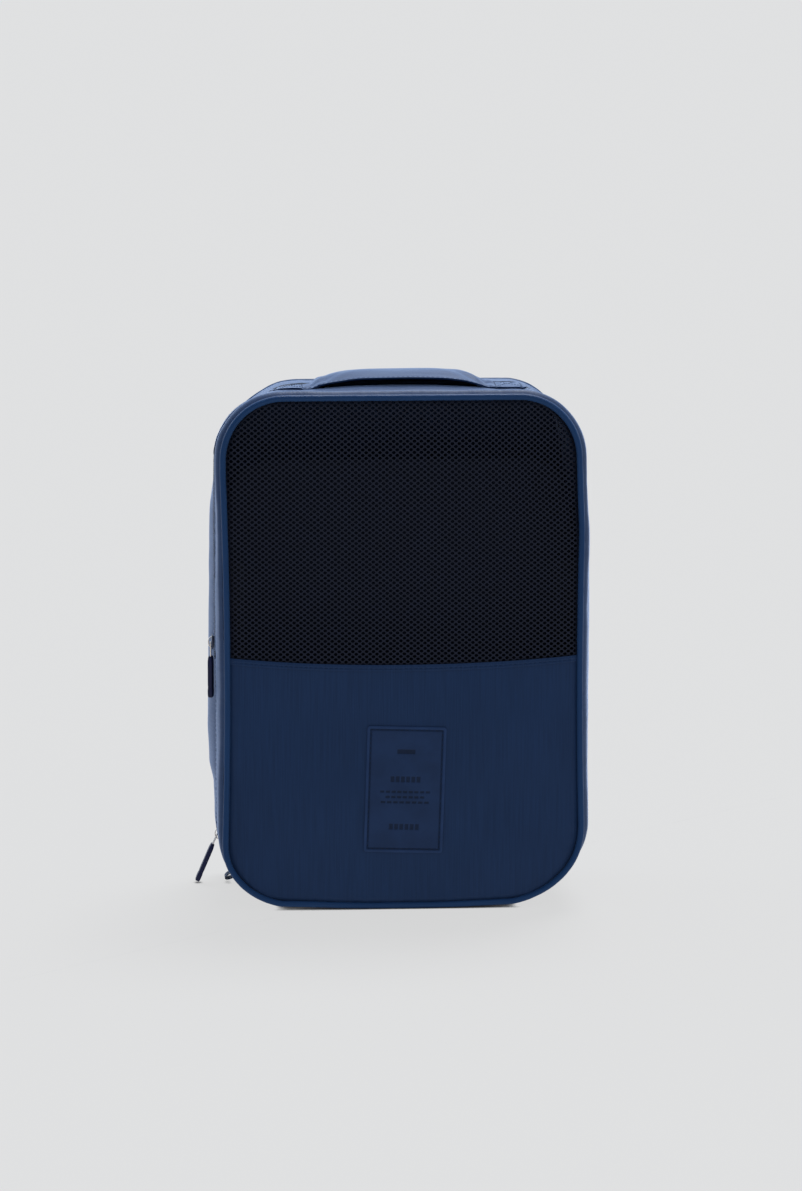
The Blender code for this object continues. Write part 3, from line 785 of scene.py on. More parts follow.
def wall_stitches(name, depth, body):
    """Stitches up one side, over the top and down the other, at depth(run)."""
    first, last = run_at(1.5 * MM, -1), run_at(1.5 * MM, 1)
    count = int((last - first) / (1.6 * MM))
    points, normals = [], []
    for step in range(count + 1):
        run = first + (last - first) * step / count
        point, normal = wall(run, depth(run), 0.12 * MM)
        points.append(point)
        normals.append(normal)
    stitches(name, points, normals, body)


def bend(body, fold, low, high):
    """The bag, a body, and the stretch from low to high over a fold between them, as one tuple."""
    return "bag_body", body, fold + Vector((0.0, 0.0, low)), fold + Vector((0.0, 0.0, high))


def flap_blend(low=1 * MM, high=13 * MM):
    return bend("window_flap", FLAP_FOLD, low, high)


def lid_blend(low=-5 * MM, high=8 * MM):
    return bend("rear_lid", LID_FOLD, low, high)


# ---- Panels ------------------------------------------------------------------------------------------

def edge_x(height, side, inset, front=True):
    """Half width of the outline, drawn in by inset, at this height."""
    low = LOWER_LEFT_RADIUS if side < 0 else LOWER_RIGHT_RADIUS
    corner = low if height < HEIGHT / 2 else UPPER_RADIUS
    drop = max(low - height, height - HEIGHT + UPPER_RADIUS, 0.0)
    radius = corner - inset
    reach = math.sqrt(max(radius ** 2 - drop ** 2, 0.0))
    spread = waist(height) * (reach / radius) ** 1.5 if front else 0.0
    return HALF_WIDTH - corner + reach + spread


def panel_point(x, z, side, lift=0.0):
    """Point on the domed front (-1) or back (1) panel."""
    reach = (abs(x / (HALF_WIDTH - 4 * MM)) ** 4
             + abs((z - HEIGHT / 2) / (HEIGHT / 2 - 4.5 * MM)) ** 4) ** 0.25
    return softened(Vector((x, side * (PANEL_EDGE_Y + DOME * (1 - reach ** 3) + lift), z)))


def panel_relief(x, z, side):
    """Soft unevenness of a panel, and the puckers beside its piping."""
    wrinkle = bpy.context.scene.shoe_bag_sizes.wrinkle
    inside = min(edge_x(z, -1, 0.0) + x, edge_x(z, 1, 0.0) - x, z, HEIGHT - z)
    height = 1.5 * wrinkle * ripple(x / (62 * MM), z / (48 * MM), 3.0 + side)
    height += 0.3 * wrinkle * ripple(x / (16 * MM), z / (30 * MM), 7.0 + side)
    along = (x + z) / (4.5 * MM)
    pucker = 0.35 * MM * ripple(along, (x - z) / (9 * MM), 11.0)
    groove = 1.5 * MM * (1 - fade(inside, TUCK, 4.5 * MM))
    return height * fade(inside, 0.0, 14 * MM) - groove + pucker * hump(inside, 6 * MM, 4 * MM)


def hem_rise(x):
    return HEM_END_RISE * (x / HALF_WIDTH) ** 2


def panel_sheet(name, side, low, high, columns, rows, spread, thick, curved_top=False):
    """Sheet over the panel between two heights, tucked under the piping at its edges."""
    front = side < 0

    def flat(u, v):
        z = low + (high - low) * spread(v)
        left, right = edge_x(z, -1, TUCK, front), edge_x(z, 1, TUCK, front)
        x = -left + (left + right) * (u if front else 1 - u)
        if curved_top:
            z += hem_rise(x) * smooth((z - low) / (high - low))
        return x, z

    def place(u, v):
        x, z = flat(u, v)
        return panel_point(x, z, side, panel_relief(x, z, side))

    return cloth_grid(name, columns, rows, place, flat, thick=thick)


def dense_low(v):
    return 1 - math.cos(v * math.pi / 2)


def dense_both(v):
    return (1 - math.cos(v * math.pi)) / 2


def edge_ring(run, inset, front):
    """Point (x, z) of the outline drawn in by inset, and its normal."""
    point, normal = ring(run)
    spread = waist(point.y) * abs(normal.x) ** 1.5 if front else 0.0
    return point + normal * (spread - inset), normal


# ---- Operators: one for each piece or group of pieces ----------------------------------------------

class SHOEBAG_OT_front_panel(bpy.types.Operator):
    """Lower front panel of nylon, and the folded hem along its top"""
    bl_idname = "shoebag.front_panel"
    bl_label = "Front Panel"

    def execute(self, context):
        cloth = context.scene.shoe_bag_sizes.cloth
        top = HEM_MIDDLE_Z - 1.2 * MM
        panel = panel_sheet("front_nylon_panel", -1, TUCK, top, 150, 110, dense_low, cloth,
                            curved_top=True)
        finish_piece(panel, "nylon", "bag_body", ["front_panel"],
                     inner="lining")
        self.hem()
        return {"FINISHED"}

    def hem(self):
        stitch_line = 0.38

        def flat(u, v):
            half = edge_x(HEM_MIDDLE_Z, -1, TUCK)
            x = -half + 2 * half * u
            return x, HEM_MIDDLE_Z + hem_rise(x) - HEM_HEIGHT * (1 - v)

        def place(u, v):
            x, z = flat(u, v)
            crown = 0.55 * MM * math.sin(math.pi * (0.12 + 0.88 * v)) ** 0.6
            dip = 0.3 * MM * hump(v, stitch_line, 0.12)
            pucker = 0.18 * MM * ripple(x / (3.2 * MM), 0.5, 4.0)
            return panel_point(x, z, -1, panel_relief(x, z, -1) + 0.25 * MM + crown - dip + pucker)

        hem = cloth_grid("window_hem", 200, 12, place, flat, thick=1.0 * MM)
        finish_piece(hem, "nylon", "bag_body", ["window_binding"])
        points, normals = [], []
        for step in range(201):
            points.append(place(step / 200, stitch_line) + Vector((0.0, -0.1 * MM, 0.0)))
            normals.append(Vector((0.0, -1.0, 0.0)))
        stitches("hem_stitches", points[3:-3], normals[3:-3], "bag_body")


class SHOEBAG_OT_window_net(bpy.types.Operator):
    """Net of the window, with its dark seam allowance behind the edge"""
    bl_idname = "shoebag.window_net"
    bl_label = "Window Net"

    def execute(self, context):
        sizes = context.scene.shoe_bag_sizes
        cell = self.cell(sizes.net_width, sizes.net_height)
        low = HEM_MIDDLE_Z - HEM_HEIGHT + 1 * MM
        places = []
        for row in range(int((HEIGHT - low) / sizes.net_height) + 1):
            z = low + row * sizes.net_height
            shift = sizes.net_width / 2 * (row % 2)
            reach = int(HALF_WIDTH / sizes.net_width) + 2
            for column in range(-reach, reach):
                x = column * sizes.net_width + shift
                if z < HEIGHT - TUCK and abs(x) < edge_x(z, math.copysign(1, x), TUCK - 1 * MM):
                    places.append(Matrix.Translation((x, z, 0.0)))
        net = scatter("window_net", cell, places)
        for vertex in net.data.vertices:
            z = min(vertex.co.y, HEIGHT - TUCK)
            limit = edge_x(z, math.copysign(1, vertex.co.x), TUCK)
            x = clamp(vertex.co.x, -limit, limit)
            slack = panel_relief(x, z, -1) - 0.7 * MM
            vertex.co = panel_point(x, z, -1, slack)
        only(net)
        edit_mesh((bpy.ops.mesh.remove_doubles, {"threshold": 0.04 * MM}),
                  (bpy.ops.mesh.dissolve_degenerate, {"threshold": 0.02 * MM}))
        apply_modifier(net, "SOLIDIFY", thickness=sizes.net_strand, offset=-1.0)
        finish_piece(net, "net", flap_blend(-2 * MM, 7 * MM), ["mesh_window"],
                     angle=40)
        self.allowance()
        return {"FINISHED"}

    def cell(self, width, height):
        """Six-sided cell with its hole, to copy."""
        nothing_selected()
        bpy.ops.mesh.primitive_circle_add(vertices=6, radius=1.0, fill_type="NGON")
        cell = bpy.context.object
        cell.rotation_euler = (0.0, 0.0, math.radians(30))
        settle(cell)
        edit_mesh((bpy.ops.mesh.inset, {"thickness": 0.3}), (bpy.ops.mesh.delete, {"type": "FACE"}))
        narrow = 0.1 * width
        outer = (width / 2 - narrow, narrow, height)
        hole = (0.3 * width, 0.14 * width, 0.55 * height)
        for vertex in cell.data.vertices:
            tip, shoulder, rise = outer if vertex.co.length > 0.8 else hole
            if abs(vertex.co.y) < 0.1:
                vertex.co = (math.copysign(tip, vertex.co.x), 0.0, 0.0)
            else:
                vertex.co = (math.copysign(shoulder, vertex.co.x),
                             math.copysign(rise, vertex.co.y), 0.0)
        return cell

    def allowance(self):
        first, last = run_at(HEM_MIDDLE_Z - 2 * MM, -1), run_at(HEM_MIDDLE_Z - 2 * MM, 1)
        width = 3.5 * MM

        def place(u, v):
            inset = TUCK - 1.3 * MM + width * v
            point, _ = edge_ring(first + (last - first) * u, inset, True)
            return panel_point(point.x, point.y, -1,
                               panel_relief(point.x, point.y, -1) - 1.6 * MM)

        def on_cloth(u, v):
            return (last - first) * u, width * v

        strip = cloth_grid("net_seam_allowance", 300, 3, place, on_cloth, thick=0.6 * MM)
        finish_piece(strip, "lining", flap_blend(-2 * MM, 7 * MM))


class SHOEBAG_OT_side_walls(bpy.types.Operator):
    """The three cloth walls that run round the bag, and their topstitching"""
    bl_idname = "shoebag.side_walls"
    bl_label = "Side Walls"

    def execute(self, context):
        front_nodes = ["front_band_upper", "side_strip_left", "side_strip_right"]
        for name, edges, rows, body, nodes in (
                ("front_wall", front_edges, 20, flap_blend(), front_nodes),
                ("middle_wall", middle_edges, 44, "bag_body", ["middle_band", "base_panel"]),
                ("rear_wall", rear_edges, 22, lid_blend(), ["rear_band"])):
            sheet = wall_sheet(name, edges, rows)
            finish_piece(sheet, "nylon", body, nodes, inner="lining")
        for name, edges, edge, inset, body in (
                ("front_wall_stitches", front_edges, 1, -STITCH_INSET, flap_blend()),
                ("middle_wall_front_stitches", middle_edges, 0, STITCH_INSET, "bag_body"),
                ("middle_wall_rear_stitches", middle_edges, 1, -STITCH_INSET, "bag_body"),
                ("rear_wall_stitches", rear_edges, 0, STITCH_INSET, lid_blend())):
            wall_stitches(name, lambda run: edges(run)[edge] + inset, body)
        return {"FINISHED"}


class SHOEBAG_OT_back_panel(bpy.types.Operator):
    """Plain nylon panel at the back"""
    bl_idname = "shoebag.back_panel"
    bl_label = "Back Panel"

    def execute(self, context):
        cloth = context.scene.shoe_bag_sizes.cloth
        panel = panel_sheet("back_nylon_panel", 1, TUCK, HEIGHT - TUCK, 150, 200, dense_both,
                            cloth)
        finish_piece(panel, "nylon", lid_blend(), ["back_panel", "back_panel_lower"],
                     inner="lining")
        return {"FINISHED"}


class SHOEBAG_OT_piping(bpy.types.Operator):
    """Round piping along the edges of both panels"""
    bl_idname = "shoebag.piping"
    bl_label = "Piping"

    def execute(self, context):
        for name, side, body in (("front_piping", -1, flap_blend(-3 * MM, 9 * MM)),
                                 ("back_piping", 1, lid_blend(-5 * MM, 6 * MM))):
            cord = cloth_grid(name, 700, 14, self.round_at(side),
                              lambda u, v: (v * 12.6 * MM, u * GIRTH), weld=True)
            finish_piece(cord, "piping", body,
                         [f"{name}_upper", f"{name}_lower"], angle=80)
        return {"FINISHED"}

    def round_at(self, side):
        def place(u, v):
            run = u * GIRTH % GIRTH
            inset = HALF_WIDTH - PIPING_HIGH.x + PIPING_RADIUS
            centre, normal = edge_ring(run, inset, side < 0)
            low = PIPING_RADIUS + 0.1 * MM
            angle = -side * 2 * math.pi * (v % 1.0)
            swell = 1 + 0.05 * ripple(run / (5 * MM), math.cos(angle) + side, math.sin(angle))
            swell += 0.03 * ripple(run / (28 * MM), side, 2.0)
            out = normal * math.cos(angle) * PIPING_RADIUS * swell
            y = side * PIPING_Y + math.sin(angle) * PIPING_RADIUS * swell * -side
            z = max(centre.y, low) + out.y
            return softened(Vector((centre.x + out.x, y, max(z, 0.05 * MM))))
        return place


# ---- Zips, sliders and pulls -----------------------------------------------------------------------

def rod(name, points, side, wide, thick, around=12):
    """Closed rod of oval section along a path that lies square to side."""
    count = len(points) - 1

    def place(u, v):
        index = round(u * (count + 2)) - 1
        spot = clamp(index, 0, count)
        tangent = points[min(spot + 1, count)] - points[max(spot - 1, 0)]
        across = side.cross(tangent).normalized()
        full = 0.0 if index != spot else 1.0
        angle = 2 * math.pi * (v % 1.0)
        return (points[spot] + side * math.cos(angle) * wide * full
                + across * math.sin(angle) * thick * full)

    return cloth_grid(name, count + 2, around, place, weld=True)


def shaped_block(size, roundness, cuts, centre, shape=None):
    """Block with rounded-off edges; shape(x, y, z) moves its points, given from -1 to 1."""
    nothing_selected()
    bpy.ops.mesh.primitive_cube_add(size=2.0)
    block = bpy.context.object
    edit_mesh((bpy.ops.mesh.subdivide, {"number_cuts": cuts}))
    for vertex in block.data.vertices:
        x, y, z = vertex.co
        full = sum(abs(value) ** roundness for value in (x, y, z)) ** (-1 / roundness)
        point = Vector((x, y, z)) * full
        if shape:
            point = Vector(shape(*point))
        vertex.co = Vector((point.x * size[0], point.y * size[1], point.z * size[2])) / 2
    apply_modifier(block, "SUBSURF", levels=1, render_levels=1)
    block.location = centre
    settle(block)
    return block


def joined(name, parts, place):
    """The parts as one piece, put in place."""
    nothing_selected()
    for part in parts:
        part.select_set(True)
    bpy.context.view_layer.objects.active = parts[0]
    bpy.ops.object.join()
    piece = bpy.context.object
    piece.name = name
    piece.data.name = name
    piece.matrix_world = place
    settle(piece)
    return piece


class SHOEBAG_OT_zips(bpy.types.Operator):
    """Woven tapes and interlocking coils of both zips"""
    bl_idname = "shoebag.zips"
    bl_label = "Zips"

    def execute(self, context):
        front = {"outer": (-1, flap_blend(-2 * MM, 9 * MM)), "inner": (1, "bag_body")}
        rear = {"outer": (1, lid_blend(-2 * MM, 9 * MM)), "inner": (-1, "bag_body")}
        for word, zip_y, fold, sides in (("front", FRONT_ZIP_Y, FLAP_FOLD, front),
                                         ("rear", REAR_ZIP_Y, LID_FOLD, rear)):
            low = fold.z - 2 * MM
            first, last = run_at(low, -1), run_at(low, 1)
            for part, (side, body) in sides.items():
                self.tape(f"{word}_zip_tape_{part}", zip_y, side, first, last, body)
                self.coil(f"{word}_zip_coil_{part}", zip_y, side, first, last, body)
        return {"FINISHED"}

    def tape(self, name, zip_y, side, first, last, body):
        edges = sorted((zip_y + side * 0.3 * MM, zip_y + side * (ZIP_HALF + 0.6 * MM)))

        def place(u, v):
            run = first + (last - first) * u
            y = edges[0] + (edges[1] - edges[0]) * v
            return skin(run, y, -0.15 * MM)[0]

        def on_cloth(u, v):
            return (last - first) * u, (edges[1] - edges[0]) * v

        tape = cloth_grid(name, 360, 6, place, on_cloth, thick=0.7 * MM)
        finish_piece(tape, "tape", body, [name])

    def coil(self, name, zip_y, side, first, last, body):
        pitch = bpy.context.scene.shoe_bag_sizes.tooth_pitch
        places = []
        for tooth in range(int((last - first) / pitch)):
            run = first + (tooth + (0.5 if side > 0 else 0.0)) * pitch
            centre, normal = skin(run, zip_y + side * 1.25 * MM, 0.42 * MM)
            places.append(placed(centre, Vector((0.0, side, 0.0)), normal))
        coil = scatter(name, bead((1.75 * MM, 0.4 * MM, 0.6 * MM), 8, 5), places)
        finish_piece(coil, "coil", body, [name])


class SHOEBAG_OT_sliders(bpy.types.Operator):
    """Cast sliders: two plates, their post and flanges, and the bridge that holds the link"""
    bl_idname = "shoebag.sliders"
    bl_label = "Sliders"

    def execute(self, context):
        for word, wall_x in (("front", FRONT_WALL_X), ("rear", REAR_WALL_X)):
            low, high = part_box(f"{word}_slider")
            centre = Vector((-wall_x, (low.y + high.y) / 2, (low.z + high.z) / 2))
            width, length = high.y - low.y, high.z - low.z
            place = Matrix.Translation(centre) @ Matrix.Rotation(math.pi, 4, "Z")
            slider = joined(f"{word}_zip_slider", self.parts(width, length), place)
            finish_piece(slider, "lacquer", f"{word}_slider", [f"{word}_slider"],
                         angle=40)
            bridge = joined(f"{word}_slider_bridge", [self.bridge()], place)
            finish_piece(bridge, "metal", f"{word}_slider")
        return {"FINISHED"}

    def parts(self, width, length):
        def tail(x, y, z):
            return x, y * (0.84 + 0.16 * smooth((z + 1) / 1.3)), z

        parts = []
        for height in (1.95 * MM, -1.75 * MM):
            plate = (1.0 * MM, width, length)
            parts.append(shaped_block(plate, 9, 6, (height, 0.0, 0.0), tail))
        post = (2.9 * MM, 0.9 * MM, length * 0.55)
        parts.append(shaped_block(post, 8, 3, (0.0, 0.0, length * 0.16)))
        flange = (0.8 * MM, 0.7 * MM, length * 0.72)
        for side in (-1, 1):
            centre = (1.35 * MM, side * (width / 2 - 0.5 * MM), 0.02 * length)
            parts.append(shaped_block(flange, 8, 3, centre))
        return parts

    def bridge(self):
        steps = 18
        arch = []
        for step in range(steps + 1):
            angle = math.pi * step / steps
            arch.append(Vector((2.1 * MM + 2.45 * MM * math.sin(angle) ** 0.75, 0.0,
                                -3.3 * MM * math.cos(angle))))
        return rod("bridge", arch, Vector((0.0, 1.0, 0.0)), 0.55 * MM, 0.32 * MM)


class SHOEBAG_OT_pulls(bpy.types.Operator):
    """Wire link and moulded tab of each pull"""
    bl_idname = "shoebag.pulls"
    bl_label = "Pulls"

    twists = {"front": -13.0, "rear": 0.0}

    def execute(self, context):
        low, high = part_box("front_pull_tab")
        size = high - low
        for word in ("front", "rear"):
            axis = Vector(JOINTS[f"{word}_pull_swing"]["pos_m"])
            low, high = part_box(f"{word}_pull_tab")
            reach = (low + high) / 2 - axis
            lean = math.atan2(-reach.x, -reach.z)
            drop = reach.length - size.z / 2
            place = Matrix.Translation(axis) @ Matrix.Rotation(lean, 4, "Y")
            link = joined(f"{word}_wire_link", [self.link(drop)], place)
            finish_piece(link, "metal", f"{word}_pull", [f"{word}_pull_link"])
            twist = Matrix.Rotation(math.radians(self.twists[word]), 4, "Z")
            tab = joined(f"{word}_moulded_tab", self.tab(size, drop), place @ twist)
            finish_piece(tab, "pull", f"{word}_pull", [f"{word}_pull_tab"],
                         angle=45)
        return {"FINISHED"}

    def link(self, drop):
        half, corner, reach = 1.75 * MM, 0.9 * MM, drop + 2.6 * MM
        leg = [Vector((0.0, -half, -reach)), Vector((0.0, -half, -reach / 2))]
        for step in range(7):
            angle = math.pi / 2 * step / 6
            leg.append(Vector((0.0, -half + corner * (1 - math.cos(angle)),
                               corner * (math.sin(angle) - 1))))
        other = [Vector((0.0, -point.y, point.z)) for point in reversed(leg)]
        return rod("link", leg + other, Vector((1.0, 0.0, 0.0)), 0.45 * MM, 0.45 * MM)

    def tab(self, size, drop):
        def body(x, y, z):
            full = 0.94 + 0.06 * fade(-z, 0.5, 0.1) - 0.2 * hump(z, -0.5, 0.04)
            full -= 0.1 * fade(z, 0.78, 0.1)
            return x * full, y * (0.5 + 0.5 * full), z

        middle = -drop - size.z / 2
        tab = shaped_block(size, 9, 21, (0.0, 0.0, middle), body)
        places = []
        for face in (-1, 1):
            for rib in range(6):
                spot = Vector((face * size.x * 0.43, 0.0, middle + (rib - 1.5) * 2.2 * MM))
                places.append(placed(spot, Vector((0.0, 1.0, 0.0)), Vector((face, 0.0, 0.0))))
        ribs = scatter("ribs", bead((1.9 * MM, 0.42 * MM, 0.28 * MM), 10, 6), places)
        return [tab, ribs]


# ---- Handle, label, divider, and the small pieces ------------------------------------------------

class SHOEBAG_OT_handle(bpy.types.Operator):
    """Flat carrying strap, sewn down at both ends with box stitching"""
    bl_idname = "shoebag.handle"
    bl_label = "Handle"

    def execute(self, context):
        strap = cloth_grid("carrying_strap", 240, 40, self.place,
                           lambda u, v: (v * 37 * MM, u * 165 * MM), thick=STRAP_CLOTH)
        finish_piece(strap, "nylon", "bag_body",
                     ["handle_strap", "handle_patch_left", "handle_patch_right"],
                     inner="lining")
        span = PATCH_HIGH.x * 2
        foot = (PATCH_HIGH.x - HANDLE_HIGH.x) / span
        rows = {"edge_front": ((0.02, 0.06), (0.98, 0.06)), "edge_back": ((0.02, 0.94), (0.98, 0.94))}
        for word, near in (("left", 0.0), ("right", 1.0)):
            turn = 1 if near == 0.0 else -1
            outer, inner = near + turn * 0.016, near + turn * (foot - 0.006)
            rows[f"{word}_outer"] = ((outer, 0.06), (outer, 0.94))
            rows[f"{word}_inner"] = ((inner, 0.06), (inner, 0.94))
            rows[f"{word}_cross_a"] = ((outer, 0.1), (inner, 0.9))
            rows[f"{word}_cross_b"] = ((outer, 0.9), (inner, 0.1))
        for name, (start, end) in rows.items():
            points = []
            for step in range(61):
                share = step / 60
                u = start[0] + (end[0] - start[0]) * share
                v = start[1] + (end[1] - start[1]) * share
                points.append(self.place(u, v) + Vector((0.0, 0.0, 0.1 * MM)))
            stitches(f"handle_{name}_stitches", points, [Vector((0.0, 0.0, 1.0))] * 61, "bag_body")
        return {"FINISHED"}

    def place(self, u, v):
        """Point on the strap's upper face; u runs to the right and v to the back."""
        x = (2 * u - 1) * PATCH_HIGH.x
        y = HANDLE_LOW.y + (HANDLE_HIGH.y - HANDLE_LOW.y) * v
        ground = skin(GIRTH / 2 + x, y)[0].z + hollow(x, y)
        foot = ground + 0.95 * MM
        share = abs(x) / HANDLE_HIGH.x
        lift = 1 - min(share * 1.08, 1.0) ** 4.2
        crown = HANDLE_HIGH.z - foot - 0.5 * MM - STRAP_FRONT_RISE
        rise = STRAP_FRONT_RISE + crown * math.sin(math.pi / 2 * fade(v, 0.0, 0.62))
        rise *= 1 - fade(v, 0.66, 0.34)
        rise *= lift * (1 + 0.07 * x / HANDLE_HIGH.x)
        edge = min(v, 1 - v) * (HANDLE_HIGH.y - HANDLE_LOW.y)
        hem = 0.3 * MM * (1 - fade(edge, 0.0, 3.6 * MM)) - 0.25 * MM * hump(edge, 2.2 * MM, 0.7 * MM)
        slack = hump(share, 0.95, 0.32)
        crease = ripple(x / (10 * MM) + y / (9 * MM) * math.copysign(1, x), y / (30 * MM), 6.0)
        crease *= 1.5 * MM * slack * (1.0 if share < 1 else 0.4)
        sag = 0.6 * MM * ripple(x / (30 * MM), y / (18 * MM), 2.5)
        sewn = 0.5 * MM * hump(abs(x), HANDLE_HIGH.x + 0.8 * MM, 1.1 * MM)
        sewn += 0.5 * MM * hump(abs(x), PATCH_HIGH.x - 2.6 * MM, 1.0 * MM)
        pressed = fade(v, 0.78, 0.22)
        loose = (hem + crease + sag) * (1 - pressed) - 0.3 * MM * pressed
        return Vector((x, y, max(foot + rise + loose - sewn, ground + 0.7 * MM)))


class SHOEBAG_OT_label(bpy.types.Operator):
    """Coated patch with a stitched border and a plain pressed pattern"""
    bl_idname = "shoebag.label"
    bl_label = "Label"

    rim = 2.4 * MM
    press = 0.4 * MM

    def execute(self, context):
        tilt = math.radians(1.8)
        cos, sin = math.cos(tilt), math.sin(tilt)
        box_width, box_height = LABEL_HIGH.x - LABEL_LOW.x, LABEL_HIGH.z - LABEL_LOW.z
        size = cos ** 2 - sin ** 2
        self.width = (box_width * cos - box_height * sin) / size
        self.height = (box_height * cos - box_width * sin) / size
        self.turn = Matrix.Rotation(-tilt, 2)
        label = cloth_grid("label_patch", 150, 240, self.place, self.flat)
        self.shade(label)
        apply_modifier(label, "SOLIDIFY", thickness=1.0 * MM, offset=-1.0)
        finish_piece(label, "label", "bag_body", ["label_patch"], angle=60)
        half_w, half_h = self.width / 2 - self.rim, self.height / 2 - self.rim
        corners = [(-half_w, -half_h), (half_w, -half_h), (half_w, half_h), (-half_w, half_h)]
        points = []
        for (x0, z0), (x1, z1) in zip(corners, corners[1:] + corners[:1]):
            for step in range(40):
                share = step / 40
                points.append(self.on_panel(x0 + (x1 - x0) * share, z0 + (z1 - z0) * share, 0.0))
        normals = [Vector((0.0, -1.0, 0.0))] * len(points)
        stitches("label_stitches", points, normals, "bag_body", closed=True)
        return {"FINISHED"}

    def shade(self, label):
        """Records painted light at each point: painted shade, darker in the groove and the pressed
        pattern, and a painted highlight, paler on the rim.
        """
        painted_shade_levels = label.data.attributes.new("tone", "FLOAT", "POINT")
        places = label.data.uv_layers.active.data
        for loop in label.data.loops:
            x, z = places[loop.index].uv
            edge = min(self.width / 2 - abs(x), self.height / 2 - abs(z))
            # Painted shade in the stitch groove and the pressed pattern, and a painted highlight on the
            # raised rim.
            groove = hump(edge, self.rim, 0.45 * MM)
            pale = 0.25 * (1 - fade(edge, self.rim - 0.6 * MM, 0.6 * MM))
            dark = max(0.68 * groove, 0.5 * self.pressed(x, z) / self.press)
            painted_shade_levels.data[loop.vertex_index].value = (1 + pale) * (1 - dark)

    def flat(self, u, v):
        """Place on the patch, from its middle, with rounded corners."""
        x, z = (u - 0.5) * self.width, (v - 0.5) * self.height
        radius = 2.2 * MM
        over_x, over_z = abs(x) - self.width / 2 + radius, abs(z) - self.height / 2 + radius
        if over_x > 0 and over_z > 0:
            shrink = max(over_x, over_z) / math.hypot(over_x, over_z)
            x = math.copysign(self.width / 2 - radius + over_x * shrink, x)
            z = math.copysign(self.height / 2 - radius + over_z * shrink, z)
        return x, z

    def place(self, u, v):
        x, z = self.flat(u, v)
        edge = min(self.width / 2 - abs(x), self.height / 2 - abs(z))
        rim = 0.45 * MM * fade(edge, 0.0, 0.7 * MM) - 0.45 * MM
        groove = 0.5 * MM * hump(edge, self.rim, 0.6 * MM)
        inner = 0.2 * MM * fade(edge, self.rim, 0.8 * MM)
        return self.on_panel(x, z, rim - groove - inner - self.pressed(x, z))

    def on_panel(self, x, z, lift):
        spot = self.turn @ Vector((x, z))
        centre = (LABEL_LOW + LABEL_HIGH) / 2
        warp = 0.35 * MM * ripple(x / (26 * MM), z / (30 * MM), 12.0)
        slack = panel_relief(spot.x + centre.x, spot.y + centre.z, -1)
        return panel_point(spot.x + centre.x, spot.y + centre.z, -1, 1.15 * MM + slack + warp + lift)

    def pressed(self, x, z):
        """Depth of the pressed pattern: one plain bar, and rows of short bars."""
        depth = 0.0
        rows = ((25 * MM, 8 * MM, 1.4 * MM, 1),
                (7 * MM, 10 * MM, 1.9 * MM, 6), (-1.3 * MM, 16.5 * MM, 0.7 * MM, 9),
                (-4.7 * MM, 13 * MM, 0.7 * MM, 7), (-8.1 * MM, 16 * MM, 0.7 * MM, 8),
                (-24.3 * MM, 10 * MM, 1.9 * MM, 6))
        for middle, reach, half_height, count in rows:
            if abs(x) < reach and abs(z - middle) < half_height + 1 * MM:
                pitch = 2 * reach / count
                across = abs((x + reach) % pitch - pitch / 2) - pitch * 0.36
                gap = max(across, abs(z - middle) - half_height)
                depth = max(depth, 1 - smooth(gap / (0.4 * MM) + 0.5))
        return self.press * depth


class SHOEBAG_OT_divider(bpy.types.Operator):
    """Soft partition between the compartments, with its bound edge and its fastening strips"""
    bl_idname = "shoebag.divider"
    bl_label = "Divider"

    def execute(self, context):
        low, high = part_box("divider_panel")
        middle_y = (low.y + high.y) / 2
        radius, corner = LOWER_LEFT_RADIUS, 22 * MM

        def reach(z):
            drop = max(low.z + radius - z, 0.0)
            foot = high.x - radius + math.sqrt(max(radius ** 2 - drop ** 2, 0.0))
            top = max(z - high.z + corner, 0.0)
            rounded = corner - math.sqrt(max(corner ** 2 - top ** 2, 0.0))
            return foot - rounded - 5 * MM * fade(z, 225 * MM, 50 * MM)

        def flat(u, v):
            z = low.z + (high.z - low.z) * dense_low(v)
            return reach(z) * (2 * u - 1), z

        def place(u, v):
            x, z = flat(u, v)
            edge = min(reach(z) - abs(x), z - low.z, high.z - z)
            wave = 0.7 * MM * ripple(x / (60 * MM), z / (50 * MM), 21.0) * fade(edge, 4 * MM, 16 * MM)
            binding = 0.25 * MM * (1 - fade(edge, 4.5 * MM, 0.8 * MM))
            return Vector((x, middle_y - 0.55 * MM - wave - binding, z))

        panel = cloth_grid("divider_sheet", 110, 120, place, flat, thick=1.1 * MM)
        finish_piece(panel, "lining", "divider", ["divider_panel"])
        for word in ("left", "right"):
            for kind, body in (("hook", "divider"), ("loop", "bag_body")):
                self.strip(f"{kind}_strip_{word}", body)
        return {"FINISHED"}

    def strip(self, name, body):
        low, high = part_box(name)

        def soften(x, y, z):
            return x, y * (0.82 + 0.18 * smooth((1 - abs(x)) / 0.2)), z

        strip = shaped_block((high - low) * 0.99, 16, 9, (low + high) / 2, soften)
        strip.name = name
        finish_piece(strip, "hook", body, [name], angle=40)


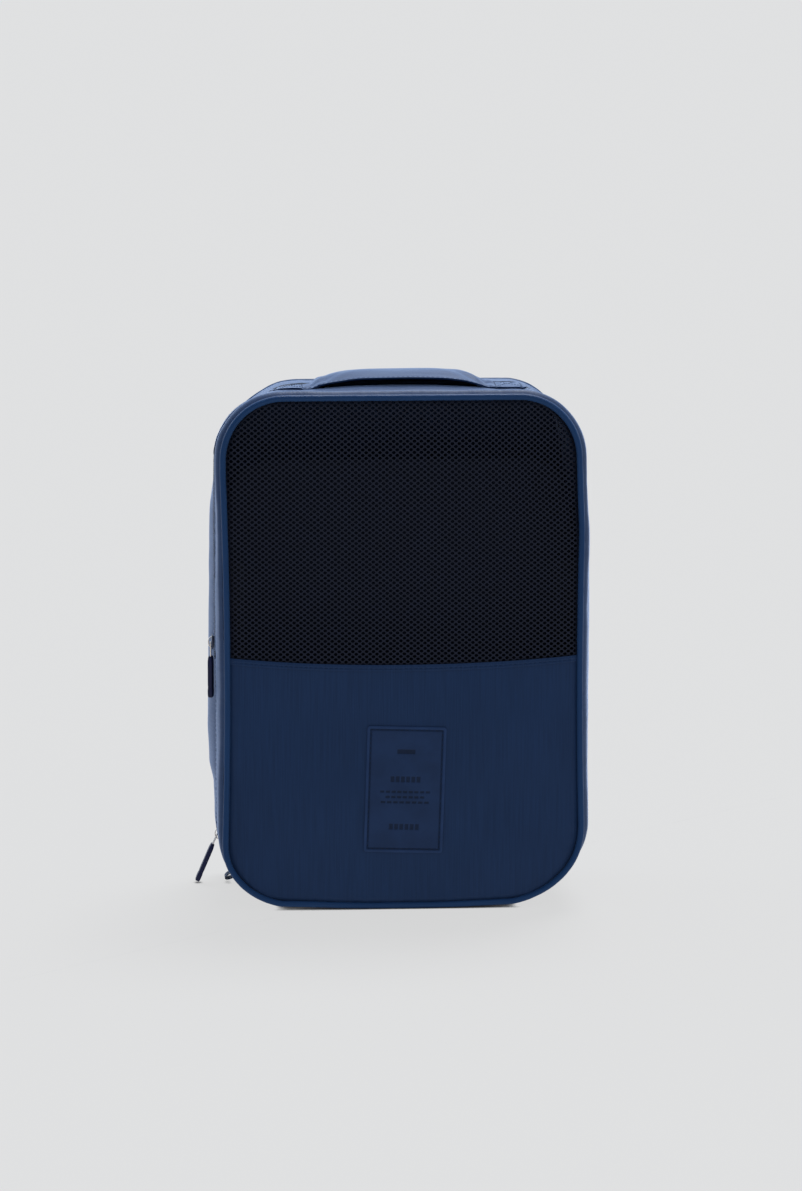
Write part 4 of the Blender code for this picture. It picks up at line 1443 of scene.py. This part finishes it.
class SHOEBAG_OT_inside(bpy.types.Operator):
    """Base stiffener, and the small grip tab sewn under the left corner"""
    bl_idname = "shoebag.inside"
    bl_label = "Base and Grip Tab"

    def execute(self, context):
        low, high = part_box("base_board")
        board = shaped_block(high - low, 14, 11, (low + high) / 2)
        board.name = "base_stiffener"
        finish_piece(board, "board", "bag_body", ["base_board"], angle=40)
        self.grip()
        return {"FINISHED"}

    def grip(self):
        """Short ribbon folded double, sewn into the wall below the rear zip, its fold outwards."""
        low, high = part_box("grip_tab")
        middle = (low + high) / 2
        root = skin(run_at(9 * MM, -1), middle.y, -1.5 * MM)[0]
        fold = Vector((low.x + 3.2 * MM, 0.0, middle.z - 0.3 * MM))

        def place(u, v):
            angle = 2 * math.pi * (u % 1.0)
            along = 0.5 - 0.5 * math.cos(angle)
            spot = root.lerp(fold, along)
            spot.z += (1.0 + 1.3 * along) * MM * math.sin(angle)
            width = (high.y - low.y) * (1 - 0.15 * along)
            crease = 0.35 * MM * ripple(along * 3, v * 4, 30.0)
            return Vector((spot.x, middle.y + width * (v - 0.5), spot.z + crease))

        tab = cloth_grid("grip_tab", 48, 18, place, lambda u, v: (u * 20 * MM, v * 12 * MM),
                         weld=True, thick=0.5 * MM)
        finish_piece(tab, "tape", "bag_body", ["grip_tab"])


class SHOEBAG_OT_stage(bpy.types.Operator):
    """Pale floor, soft light all round and from behind, and the camera"""
    bl_idname = "shoebag.stage"
    bl_label = "Stage"

    def execute(self, context):
        scene = context.scene
        scene.view_settings.view_transform = "Standard"
        nothing_selected()
        bpy.ops.mesh.primitive_plane_add(size=FLOOR_SIZE)
        floor = context.object
        floor.name = "floor"
        floor.data.materials.append(material("floor"))
        self.world(scene)
        for name, towards, strength, spread in SUNS:
            self.sun(name, towards, strength, spread)
        self.camera(scene)
        return {"FINISHED"}

    def world(self, scene):
        """Bright behind and above the bag, dimmer in front."""
        world = bpy.data.worlds.new("Studio")
        world.use_nodes = True
        tree = world.node_tree
        space = add_node(tree, "ShaderNodeTexCoord")
        parts = add_node(tree, "ShaderNodeSeparateXYZ", {"Vector": space.outputs["Generated"]})
        depth = add_node(tree, "ShaderNodeMapRange", {
            "Value": parts.outputs["Y"], "From Min": -0.5, "From Max": 0.9,
            "To Min": SKY_FRONT, "To Max": SKY_BACK}, interpolation_type="SMOOTHSTEP")
        tree.nodes["Background"].inputs["Color"].default_value = SKY_COLOUR
        tree.links.new(depth.outputs["Result"], tree.nodes["Background"].inputs["Strength"])
        scene.world = world

    def sun(self, name, towards, strength, spread):
        """Soft sun that shines from this direction."""
        nothing_selected()
        bpy.ops.object.light_add(type="SUN", rotation=Vector(towards).to_track_quat("Z", "Y").to_euler())
        sun = bpy.context.object
        sun.name = name
        sun.data.energy = strength
        sun.data.angle = math.radians(spread)

    def camera(self, scene):
        level = math.cos(CAMERA_ELEVATION)
        away = Vector((math.sin(CAMERA_AZIMUTH) * level, -math.cos(CAMERA_AZIMUTH) * level,
                       math.sin(CAMERA_ELEVATION)))
        nothing_selected()
        bpy.ops.object.camera_add(location=CAMERA_AIM + away * CAMERA_DISTANCE,
                                  rotation=away.to_track_quat("Z", "Y").to_euler())
        camera = bpy.context.object
        camera.name = "camera"
        camera.data.lens = CAMERA_LENS
        camera.data.clip_end = 300
        scene.camera = camera


OPERATORS = (
    SHOEBAG_OT_stage, SHOEBAG_OT_front_panel, SHOEBAG_OT_window_net, SHOEBAG_OT_side_walls,
    SHOEBAG_OT_back_panel, SHOEBAG_OT_piping, SHOEBAG_OT_zips, SHOEBAG_OT_sliders,
    SHOEBAG_OT_pulls, SHOEBAG_OT_handle, SHOEBAG_OT_label, SHOEBAG_OT_divider,
    SHOEBAG_OT_inside,
)


class SHOEBAG_PT_pieces(bpy.types.Panel):
    """Sizes, colours and pieces of the shoe bag"""
    bl_label = "Shoe Bag"
    bl_idname = "SHOEBAG_PT_pieces"
    bl_space_type = "VIEW_3D"
    bl_region_type = "UI"
    bl_category = "Shoe Bag"

    def draw(self, context):
        for group in (context.scene.shoe_bag_sizes, context.scene.shoe_bag_colours):
            column = self.layout.column()
            for name in group.__annotations__:
                column.prop(group, name)
        column = self.layout.column(align=True)
        for operator in OPERATORS:
            column.operator(operator.bl_idname)


CLASSES = (ShoeBagSizes, ShoeBagColours, *OPERATORS, SHOEBAG_PT_pieces)


def register():
    for kind in CLASSES:
        bpy.utils.register_class(kind)
    bpy.types.Scene.shoe_bag_sizes = PointerProperty(type=ShoeBagSizes)
    bpy.types.Scene.shoe_bag_colours = PointerProperty(type=ShoeBagColours)


def unregister():
    del bpy.types.Scene.shoe_bag_colours
    del bpy.types.Scene.shoe_bag_sizes
    for kind in reversed(CLASSES):
        bpy.utils.unregister_class(kind)


def main():
    register()
    for name in START_OBJECTS:
        if name in bpy.data.objects:
            bpy.data.objects.remove(bpy.data.objects[name], do_unlink=True)
    for operator in OPERATORS:
        group, name = operator.bl_idname.split(".")
        getattr(getattr(bpy.ops, group), name)()


if __name__ == "__main__":
    main()
